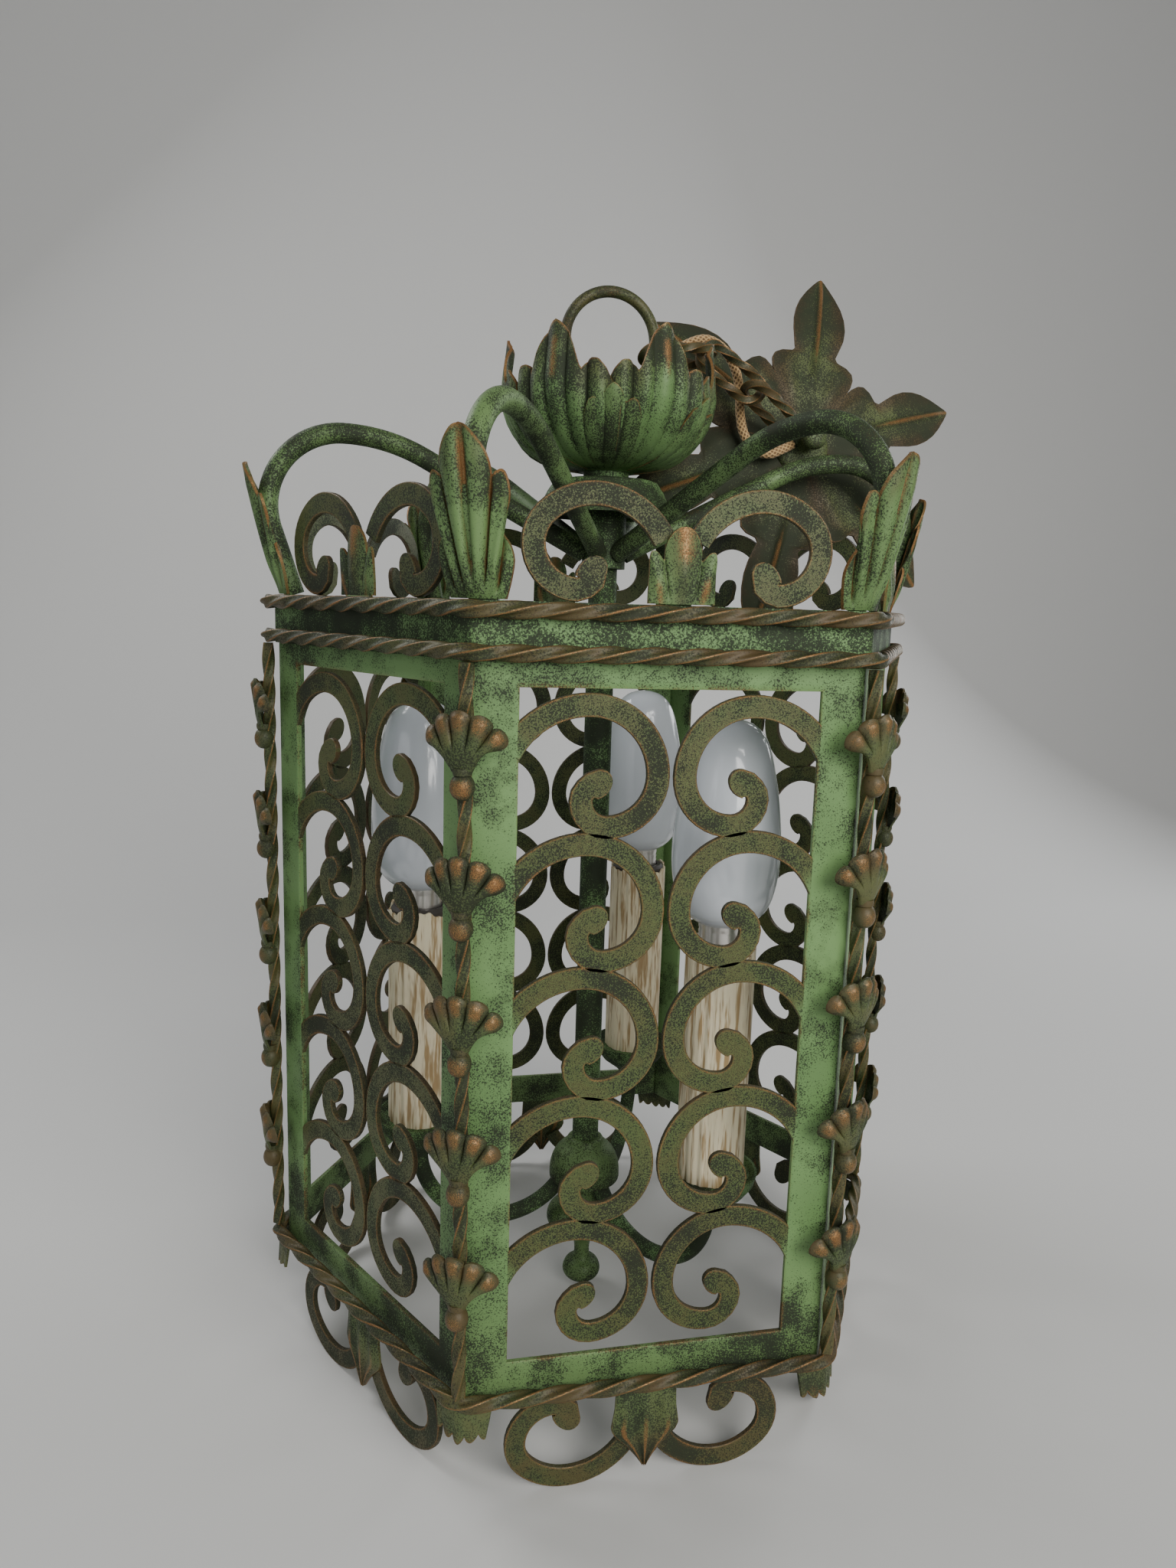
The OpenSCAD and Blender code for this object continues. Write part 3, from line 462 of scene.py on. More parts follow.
# %% [markdown]
# ## Wax, glass, holder and braid
#
# The sleeves are cream card dipped in wax, slightly waxy and warmer in the runs. The bulbs are
# opal: white, glossy and a little translucent, which a soft white with a clear coat shows well.
# The holders are dark moulded plastic. The cable wears a golden textile braid, whose crossing
# threads are worked out on the cable itself, so they follow every bend.

# %% Wax, glass and holder
def candle_wax():
    """Cream with brown runs: the noise is squeezed upright, so its spots become streaks."""
    f = Finish("candle_wax")
    where = f.node("TexCoord", output="Object")
    tall = f.node("Mapping", Vector=where, Scale=(1.0, 1.0, 0.08))
    streak = f.noise(330, 3.0, 0.65, vector=tall)
    stain = f.noise(30, 3.0, 0.6)
    colour = f.mix(streak.step(0.46, 0.61), (0.86, 0.77, 0.55), (0.42, 0.29, 0.14))
    colour = f.mix(stain.step(0.52, 0.75) * 0.4, colour, (0.36, 0.24, 0.12))
    bump = f.node("Bump", Strength=0.5, Distance=0.0006, Height=streak)
    return f.set(Base_Color=colour, Roughness=0.42 + streak * 0.15, Normal=bump,
                 Subsurface_Weight=0.1, Subsurface_Radius=(0.006, 0.004, 0.002))


def opal_glass():
    """Glossy white with a faint haze; the first painted amount turns it to cap metal."""
    f = Finish("opal_glass")
    metal = f.painted()[0]
    haze = f.noise(24, 2.0, 0.5)
    white = f.mix(haze, (0.72, 0.76, 0.82), (0.64, 0.68, 0.74))
    colour = f.mix(metal, white, (0.62, 0.60, 0.57))
    f.set(Base_Color=colour, Metallic=metal * 0.9, Roughness=0.14 + haze * 0.08 + metal * 0.1)
    return f.set(Coat_Weight=0.5, Coat_Roughness=0.05)


def dark_holder():
    """Nearly black moulded plastic with a fine grain."""
    f = Finish("dark_holder")
    grain = f.noise(900, 2.0, 0.5)
    colour = f.mix(grain, (0.035, 0.030, 0.026), (0.060, 0.050, 0.042))
    bump = f.node("Bump", Strength=0.15, Distance=0.0002, Height=grain)
    return f.set(Base_Color=colour, Roughness=0.45 + grain * 0.15, Normal=bump)


def braid():
    """Golden thread over gaps darkened with painted shade, both painted on the cable's own points."""
    f = Finish("braided_textile")
    thread, shade, _ = f.painted()
    fuzz = f.noise(3000, 2.0, 0.6)
    # Painted shade: where the threads sink into the gaps between them, the colour turns dark brown.
    colour = f.mix(thread.clamp(), (0.14, 0.075, 0.026), (0.52, 0.34, 0.15))
    colour = f.mix(shade * 0.35, colour, (0.20, 0.12, 0.05))
    bump = f.node("Bump", Strength=0.3, Distance=0.0002, Height=fuzz)
    return f.set(Base_Color=colour, Roughness=0.7 + fuzz * 0.15, Normal=bump, Sheen_Weight=0.3)


WAX, OPAL, HOLDER, BRAID = candle_wax(), opal_glass(), dark_holder(), braid()
print("made", WAX.name, OPAL.name, HOLDER.name, BRAID.name)

# %% [markdown]
# ## The braided cable
#
# The cable comes up out of the leaf cup, arches over its rim and runs down to the knob of the
# ceiling canopy. Its route is the one of the solid model. The braid is two sets of threads that
# wind opposite ways; where the phase of one is high it lies on top, which makes the small
# lozenges of a textile flex.

# %% Cable
CABLE_ROUTE = [
    (5, 10, 533.9), (5.6, 10.6, 546), (14, 15, 561), (22, 17, 577), (31, 19, 592), (41, 20, 604),
    (52, 20, 612), (64, 20, 616), (75, 20, 612), (83, 19, 602), (87, 18, 588), (88, 17, 573),
    (91, 16, 561), (98, 14, 552), (107, 13, 550), (115, 14, 553), (123, 16, 557),
]


def braided_cable():
    """A round tube whose radius rises where one of two opposite windings passes over the other."""
    path = curve_through(CABLE_ROUTE, 520)
    s = np.concatenate([[0], np.cumsum(np.linalg.norm(np.diff(path, axis=0), axis=1))])
    a = angles(40)
    threads, winding = 6 * a[None, :], 1.9 * s[:, None]
    one = np.cos(threads + winding)
    two = np.cos(threads - winding)
    lift = np.maximum(one, two)
    r = 2.62 + 0.34 * lift
    grid = sweep(path, (0.25, 0.95, 0.2), at_angle(r, a))
    return path, s[-1], grid, tint(grid.shape[:2], smooth(lift, -0.2, 0.9), smooth(one - two, 0.2, 1.0))


path, length, grid, paint = braided_cable()
cable = Piece().tube(grid, paint).make("braided_cable", BRAID, "lantern", ["cable"], "braid")
tuple(path[0] * MM)
[tuple(p * MM) for p in path[::10]]
print("cable length %.0f mm" % length)

# %% [markdown]
# ## Flat bars that curl
#
# The scrolls are flat bar bent on edge. Every curl is a chain of arcs that all turn the same
# way, so a point of the bar is the arc's centre plus (radius + offset) along the arc's own
# angle. The bar ends in a round eye: there its half width follows a circle. Its edges are
# slightly broken, and that is where the copper shows.

# %% Scroll bars
def arc_chain(arcs, step=4.0):
    """Points and outward directions of a chain of arcs.

    An arc is its centre's x and z, its radius, and the angles in degrees where it starts and ends.
    """
    centre, radius, angle = [], [], []
    for x, z, r, a, b in arcs:
        n = max(3, int(abs(b - a) * np.pi / 180 * r / step) + 2)
        t = np.radians(np.linspace(a, b, n))
        centre.append(np.tile([x, z], (n, 1)))
        radius.append(np.full(n, r))
        angle.append(t)
    c, r, a = np.concatenate(centre), np.concatenate(radius), np.concatenate(angle)
    out = np.stack([np.cos(a), np.sin(a)], axis=1)
    p = c + r[:, None] * out
    keep = np.concatenate([[True], np.linalg.norm(np.diff(p, axis=0), axis=1) > 0.2])
    return p[keep], out[keep]


def curled_bar(arcs, width, eye, thick, fade=False, darken=0.0):
    """Grid of a flat bar in the plane of a face: x along the face, y into the lantern, z up.

    Its rings cross the bar at its outward directions. Near the end the half width is the root of
    eye squared less s squared, which makes the round eye; fade starts it in the rail's green.
    """
    p, out = arc_chain(arcs)
    ahead = p[-1] - p[-2]
    ahead = ahead / np.linalg.norm(ahead)
    s_end = np.array([0.3, 0.6, 0.8, 0.92, 0.985]) * eye
    p = np.vstack([p, p[-1] + s_end[:, None] * ahead])
    out = np.vstack([out, np.tile(out[-1], (len(s_end), 1))])
    run = np.concatenate([[0], np.cumsum(np.linalg.norm(np.diff(p, axis=0), axis=1))])
    s = run - (run[-1] - s_end[-1])
    disc = np.sqrt(np.maximum(eye ** 2 - s ** 2, 0.05))
    half = np.where(s > 0, disc, np.where(s > -eye, np.maximum(width / 2, disc), width / 2))
    broken, band = 0.4, 0.9
    c, cw = broken, broken + band
    side = np.array([-1, -1, -1, -0.5, 0, 0.5, 1, 1, 1, 1, 1, 1, 0.5, 0, -0.5, -1, -1, -1])
    inset = np.array([0, c, cw, 0, 0, 0, cw, c, 0, 0, c, cw, 0, 0, 0, cw, c, 0])
    depth = np.concatenate([[c], np.zeros(7), [c, thick - c], np.full(7, thick), [thick - c]])
    front_wear = [0.5, 1, 0.45, 0.1, 0.1, 0.1, 0.45, 1, 0.5]
    back_wear = [0.3, 0.6, 0.2, 0, 0, 0, 0.2, 0.6, 0.3]
    edge = np.array(front_wear + back_wear) * 0.72
    # The side faces are dark bronze: tarnish, and painted shade along the bar's outline as well.
    dark = np.array([1, 0.3, 0, 0, 0, 0, 0, 0.3, 1] * 2)
    at_edge = side * np.maximum(half[:, None] - inset, 0.02)
    offset = np.where(np.abs(side) == 1, at_edge, side * half[:, None] * 0.8)
    xz = p[:, None, :] + offset[..., None] * out[:, None, :]
    grid = np.stack([xz[..., 0], np.broadcast_to(depth, offset.shape), xz[..., 1]], axis=-1)
    olive = smooth(run, 2, 16)[:, None] if fade else 1.0
    worn = edge * (0.65 + 0.35 * smooth(run, 0, 20)[:, None])
    return grid, tint(offset.shape, worn, olive, np.maximum(dark * 0.8, darken), 0.55 + 0.5 * darken)


def mirror_x(grid):
    """The same grid with left and right exchanged."""
    return grid * np.array([-1, 1, 1])


BAR_W = 11.2


def grille_arcs(z):
    """The five arcs of a left grille scroll whose crown's centre line is at height z.

    The radii shrink from weld to eye; the first arc starts just inside the side rail.
    """
    r1, r2, r3, r4, r5 = 42, 33.5, 24.3, 12.7, 8
    reach = 33.1
    x = -OPEN_HALF + reach
    fx, fz = x + r2 - r3, z - r2 - r3
    start = 90 + np.degrees(np.arcsin((reach + 0.7) / (r1 - BAR_W / 2)))
    return [(x, z - r1, r1, start, 90), (x, z - r2, r2, 90, 0), (fx, z - r2, r3, 0, -90),
            (fx, fz + r4, r4, -90, -180), (fx - r4 + r5, fz + r4, r5, -180, -270)]


def frieze_arcs():
    """The five arcs of a left frieze scroll that stands on z = 0."""
    inner_arc, eye_arc = 36.7, 6.2
    x, top = -8 - inner_arc * np.sin(np.radians(62)), FRIEZE_H - FRIEZE_W / 2
    step = (CROWN_ARC - SIDE_ARC) * COS45
    tx, tz = x - step, top - CROWN_ARC + step
    fx, fz = tx - SIDE_ARC + FOOT_ARC, tz - FOOT_ARC
    return [(x, top - inner_arc, inner_arc, 28, 90), (x, top - CROWN_ARC, CROWN_ARC, 90, 135),
            (tx, tz, SIDE_ARC, 135, 180), (fx, tz, FOOT_ARC, 180, 270),
            (fx, fz + eye_arc, eye_arc, 270, 372)]


lengths = [abs(b - a) * np.pi / 180 * r for _, _, r, a, b in grille_arcs(OPEN_TOP)]
print("a grille scroll runs %.0f mm" % sum(lengths))

# %% [markdown]
# ## Grille panels
#
# A panel is a flat frame with two columns of scrolls welded into it, each growing out of a side
# rail. The frame is one ring of quads: every point lies between the outer and the inner
# rectangle. The rails stay pale green and the scrolls turn olive a finger's width from the weld.

# %% Panels
def rail_frame():
    """Ring of points between two rectangles, with broken edges at both."""
    box = lambda x, low, high: np.array([(-x, low), (x, low), (x, high), (-x, high)])
    outer, inner = box(PANEL_HALF, PANEL_Z, PANEL_TOP), box(OPEN_HALF, OPEN_Z, OPEN_TOP)
    t = np.linspace(0, 1, 24, endpoint=False)[:, None]
    ring = lambda q: np.concatenate([q[k] * (1 - t) + q[(k + 1) % 4] * t for k in range(4)])
    o, i = ring(outer), ring(inner)
    f = np.array([0, 0.02, 0.3, 0.6, 0.9, 0.97, 1, 1, 0.97, 0.6, 0.3, 0.02, 0])
    d = np.array([0.4, 0, 0, 0, 0, 0, 0.4, 2.6, 3, 3, 3, 3, 2.6])
    e = np.array([0.2, 0.1, 0, 0, 0.1, 0.55, 0.8, 0.5, 0.2, 0, 0, 0, 0.1])
    xz = o[:, None, :] * (1 - f[None, :, None]) + i[:, None, :] * f[None, :, None]
    mitre = (APOTHEM - d) * TAN30 - 0.02
    wide = np.abs(xz[..., 0])
    wide = np.where((f < 0.01) & (wide > PANEL_HALF - 0.01), mitre, wide)
    xz[..., 0] = np.sign(xz[..., 0]) * wide
    grid = np.stack([xz[..., 0], np.broadcast_to(d, xz.shape[:2]) - APOTHEM, xz[..., 1]], axis=-1)
    low = 1 - smooth(xz[..., 1], PANEL_Z + 10, PANEL_Z + 90)
    return grid, tint(xz.shape[:2], e * 0.7, 0.3 * low, 0, 0.1 + 0.45 * low)


def panel_piece():
    """The frame with five rows of scrolls, each a mirrored pair a hair thinner than the sheet."""
    piece = Piece()
    grid, paint = rail_frame()
    piece.grid(grid, paint, wrap_u=True, wrap_v=True)
    for row in range(5):
        arcs = grille_arcs(OPEN_TOP - 2 - BAR_W / 2 - row * PITCH_Z)
        bar, paint = curled_bar(arcs, BAR_W, 7.1, PANEL_T - 0.04, fade=True)
        bar = bar + [0, 0.02 - APOTHEM, 0]
        piece.tube(bar, paint, flip=False)
        piece.tube(mirror_x(bar), paint)
    return piece


base = panel_piece()
six(base, 0, "grille_panel", "panel", "sage_iron")
print("points in a panel:", base.count)

# %% [markdown]
# ## Leaves on the friezes
#
# Each face carries a pair of scrolls on top of the cage and the same pair hanging below it,
# bound in the middle by a pressed leaf. The hanging leaf is a sheet whose half width is read
# from a table along its height, with ribs that are a cosine across it. The crown's leaf is a
# fan: rays run from its foot to a lobed outline, so lobes and grooves follow the same rays.

# %% Frieze scrolls and their leaves
SHEET = 1.3


def across_and_up(across, up):
    """The two parameters of a leaf: v rises from 0 to 1 down the rows, u runs from -1 to 1 along them."""
    return np.linspace(0, 1, up)[:, None], np.linspace(-1, 1, across)[None, :]


def pendant_leaf():
    """A ribbed sheet that ends in a point: x is u times the half width at v, y bulges to the viewer."""
    v, u = across_and_up(41, 33)
    half = np.interp(v, [0, 0.28, 0.52, 0.6, 0.75, 0.9, 1], [16, 16.5, 18.2, 16.5, 9.5, 4.2, 1.2])
    z = 46.5 * v
    rib = 0.5 + 0.5 * np.cos(3 * np.pi * u)
    bulge = 1.2 * (1 - 0.75 * u ** 2) * (0.35 + 0.65 * np.sin(np.pi * np.clip(v * 0.9 + 0.08, 0, 1)))
    y = -bulge - 2.0 * rib * smooth(v, 0.0, 0.35) * (1 - 0.4 * v)
    front = np.stack([half * u, y, z + 0 * u], axis=-1)
    crest = 0.85 * smooth(rib, 0.7, 1.0) * smooth(v, 0.1, 0.6)
    worn = np.maximum(crest, smooth(np.abs(u), 0.9, 1.0) * (0.35 + 0.6 * v))
    worn = np.maximum(worn, smooth(v, 0.93, 1.0) * 0.8)
    bronze = 0.25 + 0.55 * smooth(v, 0.35, 0.85)
    return front, front + [0, SHEET, 0], tint(worn.shape, worn, 0.6, bronze, 0.7)


def fan_leaf(edge, width, height, foot, grooves, up=33, half_across=30):
    """Rays from the foot to a lobed outline: q counts along half of the outline, v along a ray."""
    v, u = across_and_up(2 * half_across + 1, up)
    q = 1 - np.abs(u)
    outline = curve_through(edge, 400)
    t = np.linspace(0, 1, 400)
    x = width * ((1 - v) * foot * u + v * np.sign(u) * np.interp(q, t, outline[:, 0]))
    z = height * v * np.interp(q, t, outline[:, 1])
    dent = sum(np.exp(-((q - g) / 0.045) ** 2) for g in grooves)
    swell = sum(np.exp(-((q - g - 0.17) / 0.09) ** 2) for g in grooves)
    depth = smooth(v, 0.02, 0.3) * (1 - 0.45 * smooth(v, 0.85, 1.0))
    rim = np.maximum(smooth(v, 0.955, 1.0), smooth(np.abs(u), 0.97, 1.0) * smooth(v, 0.1, 0.3))
    return x, z, dent * depth, swell * depth, rim, v


FACE_EDGE = [(1, 0), (1, 0.2), (0.99, 0.42), (1, 0.58), (0.94, 0.68), (0.8, 0.675), (0.66, 0.61),
             (0.555, 0.57), (0.55, 0.7), (0.47, 0.83), (0.33, 0.93), (0.15, 0.99), (0, 1)]


def crown_leaf():
    """Three-lobed leaf before the scrolls' ends: middle and side lobes stand out as rounded ribs."""
    x, z, dent, _, rim, v = fan_leaf(FACE_EDGE, 15.9, 34.4, 0.9, (0.585,))
    u = np.linspace(-1, 1, x.shape[1])[None, :]
    middle = np.exp(-(u / 0.2) ** 2)
    wings = np.exp(-((np.abs(u) - 0.68) / 0.16) ** 2)
    bowed = np.sin(np.pi * np.clip(0.25 + 0.6 * v, 0, 1)) * (1 - 0.5 * (x / 16) ** 2)
    y = -0.6 - 2.4 * bowed - (1.7 * middle + 1.2 * wings) * smooth(v, 0.05, 0.4) + 1.0 * dent
    worn = np.maximum(rim * 0.8, 0.85 * middle * smooth(v, 0.3, 0.7))
    worn = np.maximum(worn, 0.7 * wings * (1 - smooth(v, 0.35, 0.7)))
    front = np.stack([x, y, z], axis=-1)
    return front, front + [0, SHEET, 0], tint(worn.shape, worn, 0.45, 0.55 * middle + 0.2 * dent, 0.25)


def frieze_pair(darken):
    """A frieze scroll and its mirror image; the last argument makes both darker bronze with denser stipple.
    """
    bar, paint = curled_bar(frieze_arcs(), FRIEZE_W, 7.7, PANEL_T, darken=darken)
    return Piece().tube(bar, paint).tube(mirror_x(bar), paint, flip=False)


def place(piece, offset, flip_z=False):
    """Moves a piece by an offset, upside down if asked."""
    scale = np.array([1, 1, -1 if flip_z else 1])
    other = piece.moved(lambda p: p * scale + offset)
    if flip_z:
        other.faces = [f[::-1] for f in piece.faces]
    return other


def join(*pieces):
    """Several pieces as one."""
    whole = Piece()
    for piece in pieces:
        whole.faces += [[i + whole.count for i in f] for f in piece.faces]
        whole.points += piece.points
        whole.tints += piece.tints
        whole.count += piece.count
    return whole


crown = place(frieze_pair(0.0), [0, -APOTHEM, CROWN_Z])
leaf = Piece().slab(*crown_leaf())
leaf = place(leaf, [0, -APOTHEM - 1.6, UPPER_Z + ROPE_C + 0.3])
hanging = place(frieze_pair(0.4), [0, -APOTHEM, PANEL_Z - 0.2], flip_z=True)
pendant = Piece().slab(*pendant_leaf())
pendant = place(pendant, [0, -APOTHEM - 1.6, BOTTOM_Z - ROPE_C - 0.3], flip_z=True)
six(join(crown, leaf), 0, "crown_scrolls", "crown_frieze", "olive_iron")
six(join(hanging, pendant), 0, "hanging_scrolls", "hanging_frieze", "olive_iron")
print("made 12 friezes of", join(crown, leaf).count, "points")

# %% [markdown]
# ## Twisted rims
#
# The rims are square bar, twisted cold and bent round the six corners. The ring of the profile
# turns as it travels; on each side it makes a whole number of quarter turns, so every corner
# starts the same way. Where the bar closes on itself the last ring is that many quarter turns on
# from the first, and the seam's quads are shifted by as much. The ridges are rubbed to copper.

# %% Twisted bars
def square_bar(side, n=32):
    """Outline of a twisted square bar: radius swings four times between hollow flats and sharp ridges."""
    a = angles(n)
    crest = (0.5 + 0.5 * np.cos(4 * a)) ** 1.6
    r = side * (0.455 + 0.235 * crest)
    return at_angle(r, a), crest ** 4


def rim_path(z, steps=90):
    """Centre line of a rim: six straight sides joined by round bends, with the run along each side."""
    s = np.arange(steps) * ROPE_RUN / steps
    bend = BEND * np.pi / 6
    start, end = s < bend, s > ROPE_RUN - bend
    round_end = -90 + (s - ROPE_RUN + bend) / bend * 30
    a = np.radians(np.where(start, -120 + s / bend * 30, np.where(end, round_end, -90)))
    corner_x = BEND_R * np.cos(np.radians([-120, -60]))
    cx = np.where(start, corner_x[0], np.where(end, corner_x[1], s - ROPE_RUN / 2))
    x = np.where(start | end, cx + BEND * np.cos(a), cx)
    y = np.where(start | end, -BEND_R * COS30 + BEND * np.sin(a), -ROPE_A)
    one = np.stack([x, y], axis=1)
    xy = np.concatenate([one @ about_z(60 * k)[:2, :2] for k in range(6)])
    turn = np.concatenate([-np.pi / 2 * QUARTERS * (k + s / ROPE_RUN) for k in range(6)])
    return np.column_stack([xy, np.full(len(xy), z)]), turn


def twisted_rim(z):
    """A closed rim of square bar at height z."""
    path, turn = rim_path(z)
    profile, ridge = square_bar(ROPE_SIDE)
    grid = sweep(path, (0, 0, 1), profile, turn, closed=True)
    bronze = 0.6 + 0.2 * np.sin(np.arange(len(path)) * 0.02)[:, None]
    seam = -6 * QUARTERS * len(profile) // 4
    paint = tint(grid.shape[:2], ridge * 0.9, 0.95, bronze, 0.45)
    return Piece().grid(grid, paint, wrap_u=True, wrap_v=True, flip=True, shift=seam)


twisted_rim(UPPER_Z).make("rim_upper", IRON, "lantern", ["upper_rope"], "bronze_iron", crease=60)
twisted_rim(LOWER_Z).make("rim_lower", IRON, "lantern", ["lower_rope"], "bronze_iron", crease=60)
print("quarter turns on a side:", QUARTERS)

# %% [markdown]
# ## Corner drops
#
# Where the lower rim turns a corner, a small scalloped shell hangs under it. It wraps the
# corner, so its depth falls away to both sides.

# %% Lower rim and its drops
def folded(x):
    """How far a sheet round a corner has fallen back at distance x: a fold of 60 degrees, rounded."""
    return 0.577 * (np.sqrt(x * x + 36) - 6)


def corner_shell():
    """Scalloped sheet round a corner: five lobes along its lower edge, fluted between them."""
    v, u = across_and_up(61, 15)
    lobe = np.abs(np.cos(2 * np.pi * u)) ** 0.6
    x = u * (15 - 2 * v)
    fall = folded(x)
    z = -ROPE_C - 0.2 - v * (13.5 + 4.0 * lobe - 3.0 * np.abs(u))
    r = VINE_R - 0.2 + 1.1 * lobe * v - fall
    front = np.stack([r, x + 0 * v, z], axis=-1)
    worn = np.maximum(smooth(v, 0.8, 1.0) * 0.7 + 0 * u, lobe * 0.5 * v)
    return front - [1.4, 0, 0], front, tint(worn.shape, worn, 0.5, 0.5, 0.5)


lower = twisted_rim(BOTTOM_Z)
shells = [place(Piece().slab(*corner_shell()), [0, 0, BOTTOM_Z]).turned(60 * k) for k in range(6)]
join(lower, *shells).make("rim_bottom", IRON, "lantern", ["bottom_rope"], "bronze_iron", crease=60)
print("made the lower rim with", len(shells), "drops")

# %% [markdown]
# ## Corner vines
#
# A thin twisted bar climbs each corner and carries five open flowers, each with a round bead
# under it. A flower is a fan of five petals on a trumpet: its rays leave the narrow foot close
# together, spread as they rise and reach further in the middle of a petal than between two.

# %% Vines and flowers
FIRST_CORNER = -120


def petal_fan(up=29, across=101):
    """Five rounded petals folded round the corner: columns are rays, their reach follows |sin|."""
    v, u = across_and_up(across, up)
    petal = np.abs(np.sin(2.5 * np.pi * (u + 1))) ** 0.5
    theta = np.radians(57.5 * u)
    reach = (28.2 - 3.0 * u ** 2) * (0.89 + 0.11 * petal)
    full = np.sin(np.pi * v) * (1 - v)
    y = 4.7 * u * (1 - v) + v * reach * np.sin(theta) + 1.6 * u * full
    z = -28 + v * reach * np.cos(theta) + 7.5 * u ** 2 * full
    groove = (1 - petal) * smooth(v, 0.3, 0.75)
    g = v ** 1.15
    x = (6.3 - 2.2 * u ** 2) * (1 - g) + (11 - folded(y)) * g - 3.4 * groove
    x = x - 2.6 * smooth(v, 0.84, 1.0) ** 2 * petal + 0.8 * full
    front = np.stack([x, y, z], axis=-1)
    worn = 0.72 * smooth(petal, 0.5, 0.95) * smooth(v, 0.5, 0.8) * (1 - 0.6 * smooth(v, 0.93, 1.0))
    bronze = 0.45 + 0.4 * smooth(v, 0.45, 0.85)
    paint = tint(worn.shape, worn, 0.75 - 0.2 * v, bronze, 0.3 - 0.2 * v + 0.5 * groove)
    return front, front - [SHEET, 0, 0], paint


def bead():
    """A bead in front of the bar: an ellipsoid with a short neck, turned about its own upright axis."""
    t = np.linspace(0, 1, 19)
    radius, height = np.maximum(5.75 * np.sin(np.pi * t) ** 0.9, 0.4), -34.5 - 6.3 * np.cos(np.pi * t)
    profile = np.column_stack([radius, height])
    profile = np.vstack([profile[:16], [4.2, -29.2], [4.5, -27.6], [4.4, -26]])
    grid = lathe(profile, 36)
    out = np.cos(angles(36))[None, :]
    belly = np.sin(np.pi * np.linspace(0, 1.1, len(profile)).clip(0, 1))
    worn = 0.7 * smooth(out, -0.2, 1.0) * smooth(belly, 0.3, 1)[:, None]
    return grid + [3.0, 0, 0], tint(grid.shape[:2], worn, 0.1, 0.9, 0.1)


def vine():
    """Upright twisted bar at a corner with five flowers and beads, spaced evenly."""
    steps = 240
    z = np.linspace(VINE_Z, VINE_TOP, steps)
    path = np.column_stack([np.full(steps, VINE_R), np.zeros(steps), z])
    profile, ridge = square_bar(5.2)
    grid = sweep(path, (0, 1, 0), profile, 2 * np.pi * (z - VINE_Z) / 74)
    piece = Piece().tube(grid, tint(grid.shape[:2], ridge * 0.9, 0.85, 0.55, 0.45))
    pitch = (VINE_TOP - VINE_Z - 20.7 - 79.5) / 4
    for row in range(5):
        at = np.array([VINE_R, 0, VINE_TOP - 20.7 - row * pitch])
        front, inner, paint = petal_fan()
        piece.slab(front + at, inner + at, paint)
        ball, paint = bead()
        piece.tube(ball + at, paint)
    return piece


base = vine()
six(base, FIRST_CORNER, "flower_vine", "corner_vine", "bronze_iron", crease=50)
print("points in a vine:", base.count)

# %% [markdown]
# ## Corner leaves
#
# The six tall leaves on the crown's corners are cast: a wide base that wraps the corner, a pair
# of low lobes, a waist, a pair of high lobes and a pointed tip that curls in. Long grooves fan
# out from the foot, and copper shows in them and along the rim. It is the fan leaf again, with
# another outline.

# %% Corner leaves
CORNER_EDGE = [(0.75, 0), (0.89, 0.11), (1, 0.235), (0.94, 0.33), (0.78, 0.4), (0.92, 0.5),
               (1.03, 0.61), (1.01, 0.7), (0.91, 0.75), (0.75, 0.735), (0.64, 0.715), (0.645, 0.78),
               (0.56, 0.86), (0.36, 0.935), (0.16, 0.985), (0, 1)]


def corner_leaf():
    """Five-lobed fan that leans out along the arm, folds round the corner and curls in at its tip."""
    grooves, height = (0.267, 0.667, 0.985), 72.0
    x, z, dent, swell, rim, v = fan_leaf(CORNER_EDGE, 18.0, height, 0.7, grooves, up=61, half_across=45)
    foot = ARM_R0 + ARM_R / np.cos(ARM_LEAN) + 1.75
    r = foot + z * np.tan(ARM_LEAN) - 4.2 * (z / height) ** 2 - folded(x)
    r = r + 1.6 * swell - 3.0 * dent
    front = np.stack([r, x, z], axis=-1)
    worn = np.clip(np.maximum(rim * 0.85, dent * 0.92), 0, 1)
    back = front - np.array([1.5, 0, 0])
    outer = smooth(v, 0.7, 1.0) * smooth(swell + rim, 0.2, 1.0)
    bronze = 0.5 * np.clip(dent + outer * 0.8, 0, 1)
    soot = 0.25 + 0.55 * (1 - np.clip(swell, 0, 1)) * smooth(v, 0.1, 0.5)
    return front, back, tint(worn.shape, worn, 0.3 + 0.4 * outer, bronze, soot)


front, back, paint = corner_leaf()
base = place(Piece().slab(front, back, paint), [0, 0, UPPER_Z + ROPE_C + 0.2])
six(base, FIRST_CORNER, "tall_leaf", "corner_leaf", "sage_iron", crease=50)
print("points in a corner leaf:", base.count)

# %% [markdown]
# ## Crown arms
#
# Six round bars rise behind the leaves, bend over and run down to the hub. The centre line lies
# in a plane through the axis: a straight foot, a tight bend, a wide bend and a straight slope.

# %% Arms
def arm_path():
    """Centre line of an arm in its own plane as (radius, height)."""
    foot = [(ARM_R0 - 2 * np.tan(ARM_LEAN), CROWN_Z), arm_end]
    bend = arm_c + at_angle(TIGHT, np.radians(np.linspace(-18, 90, 30))[1:])
    wide = arm_c2 + at_angle(WIDE, np.radians(np.linspace(90, 117.5, 14))[1:])
    r = np.linspace(arm_down[0], 12.0, 14)[1:]
    q = np.concatenate([foot, bend, wide, np.column_stack([r, arm_z(r)])])
    return np.column_stack([q[:, 0], np.zeros(len(q)), q[:, 1]])


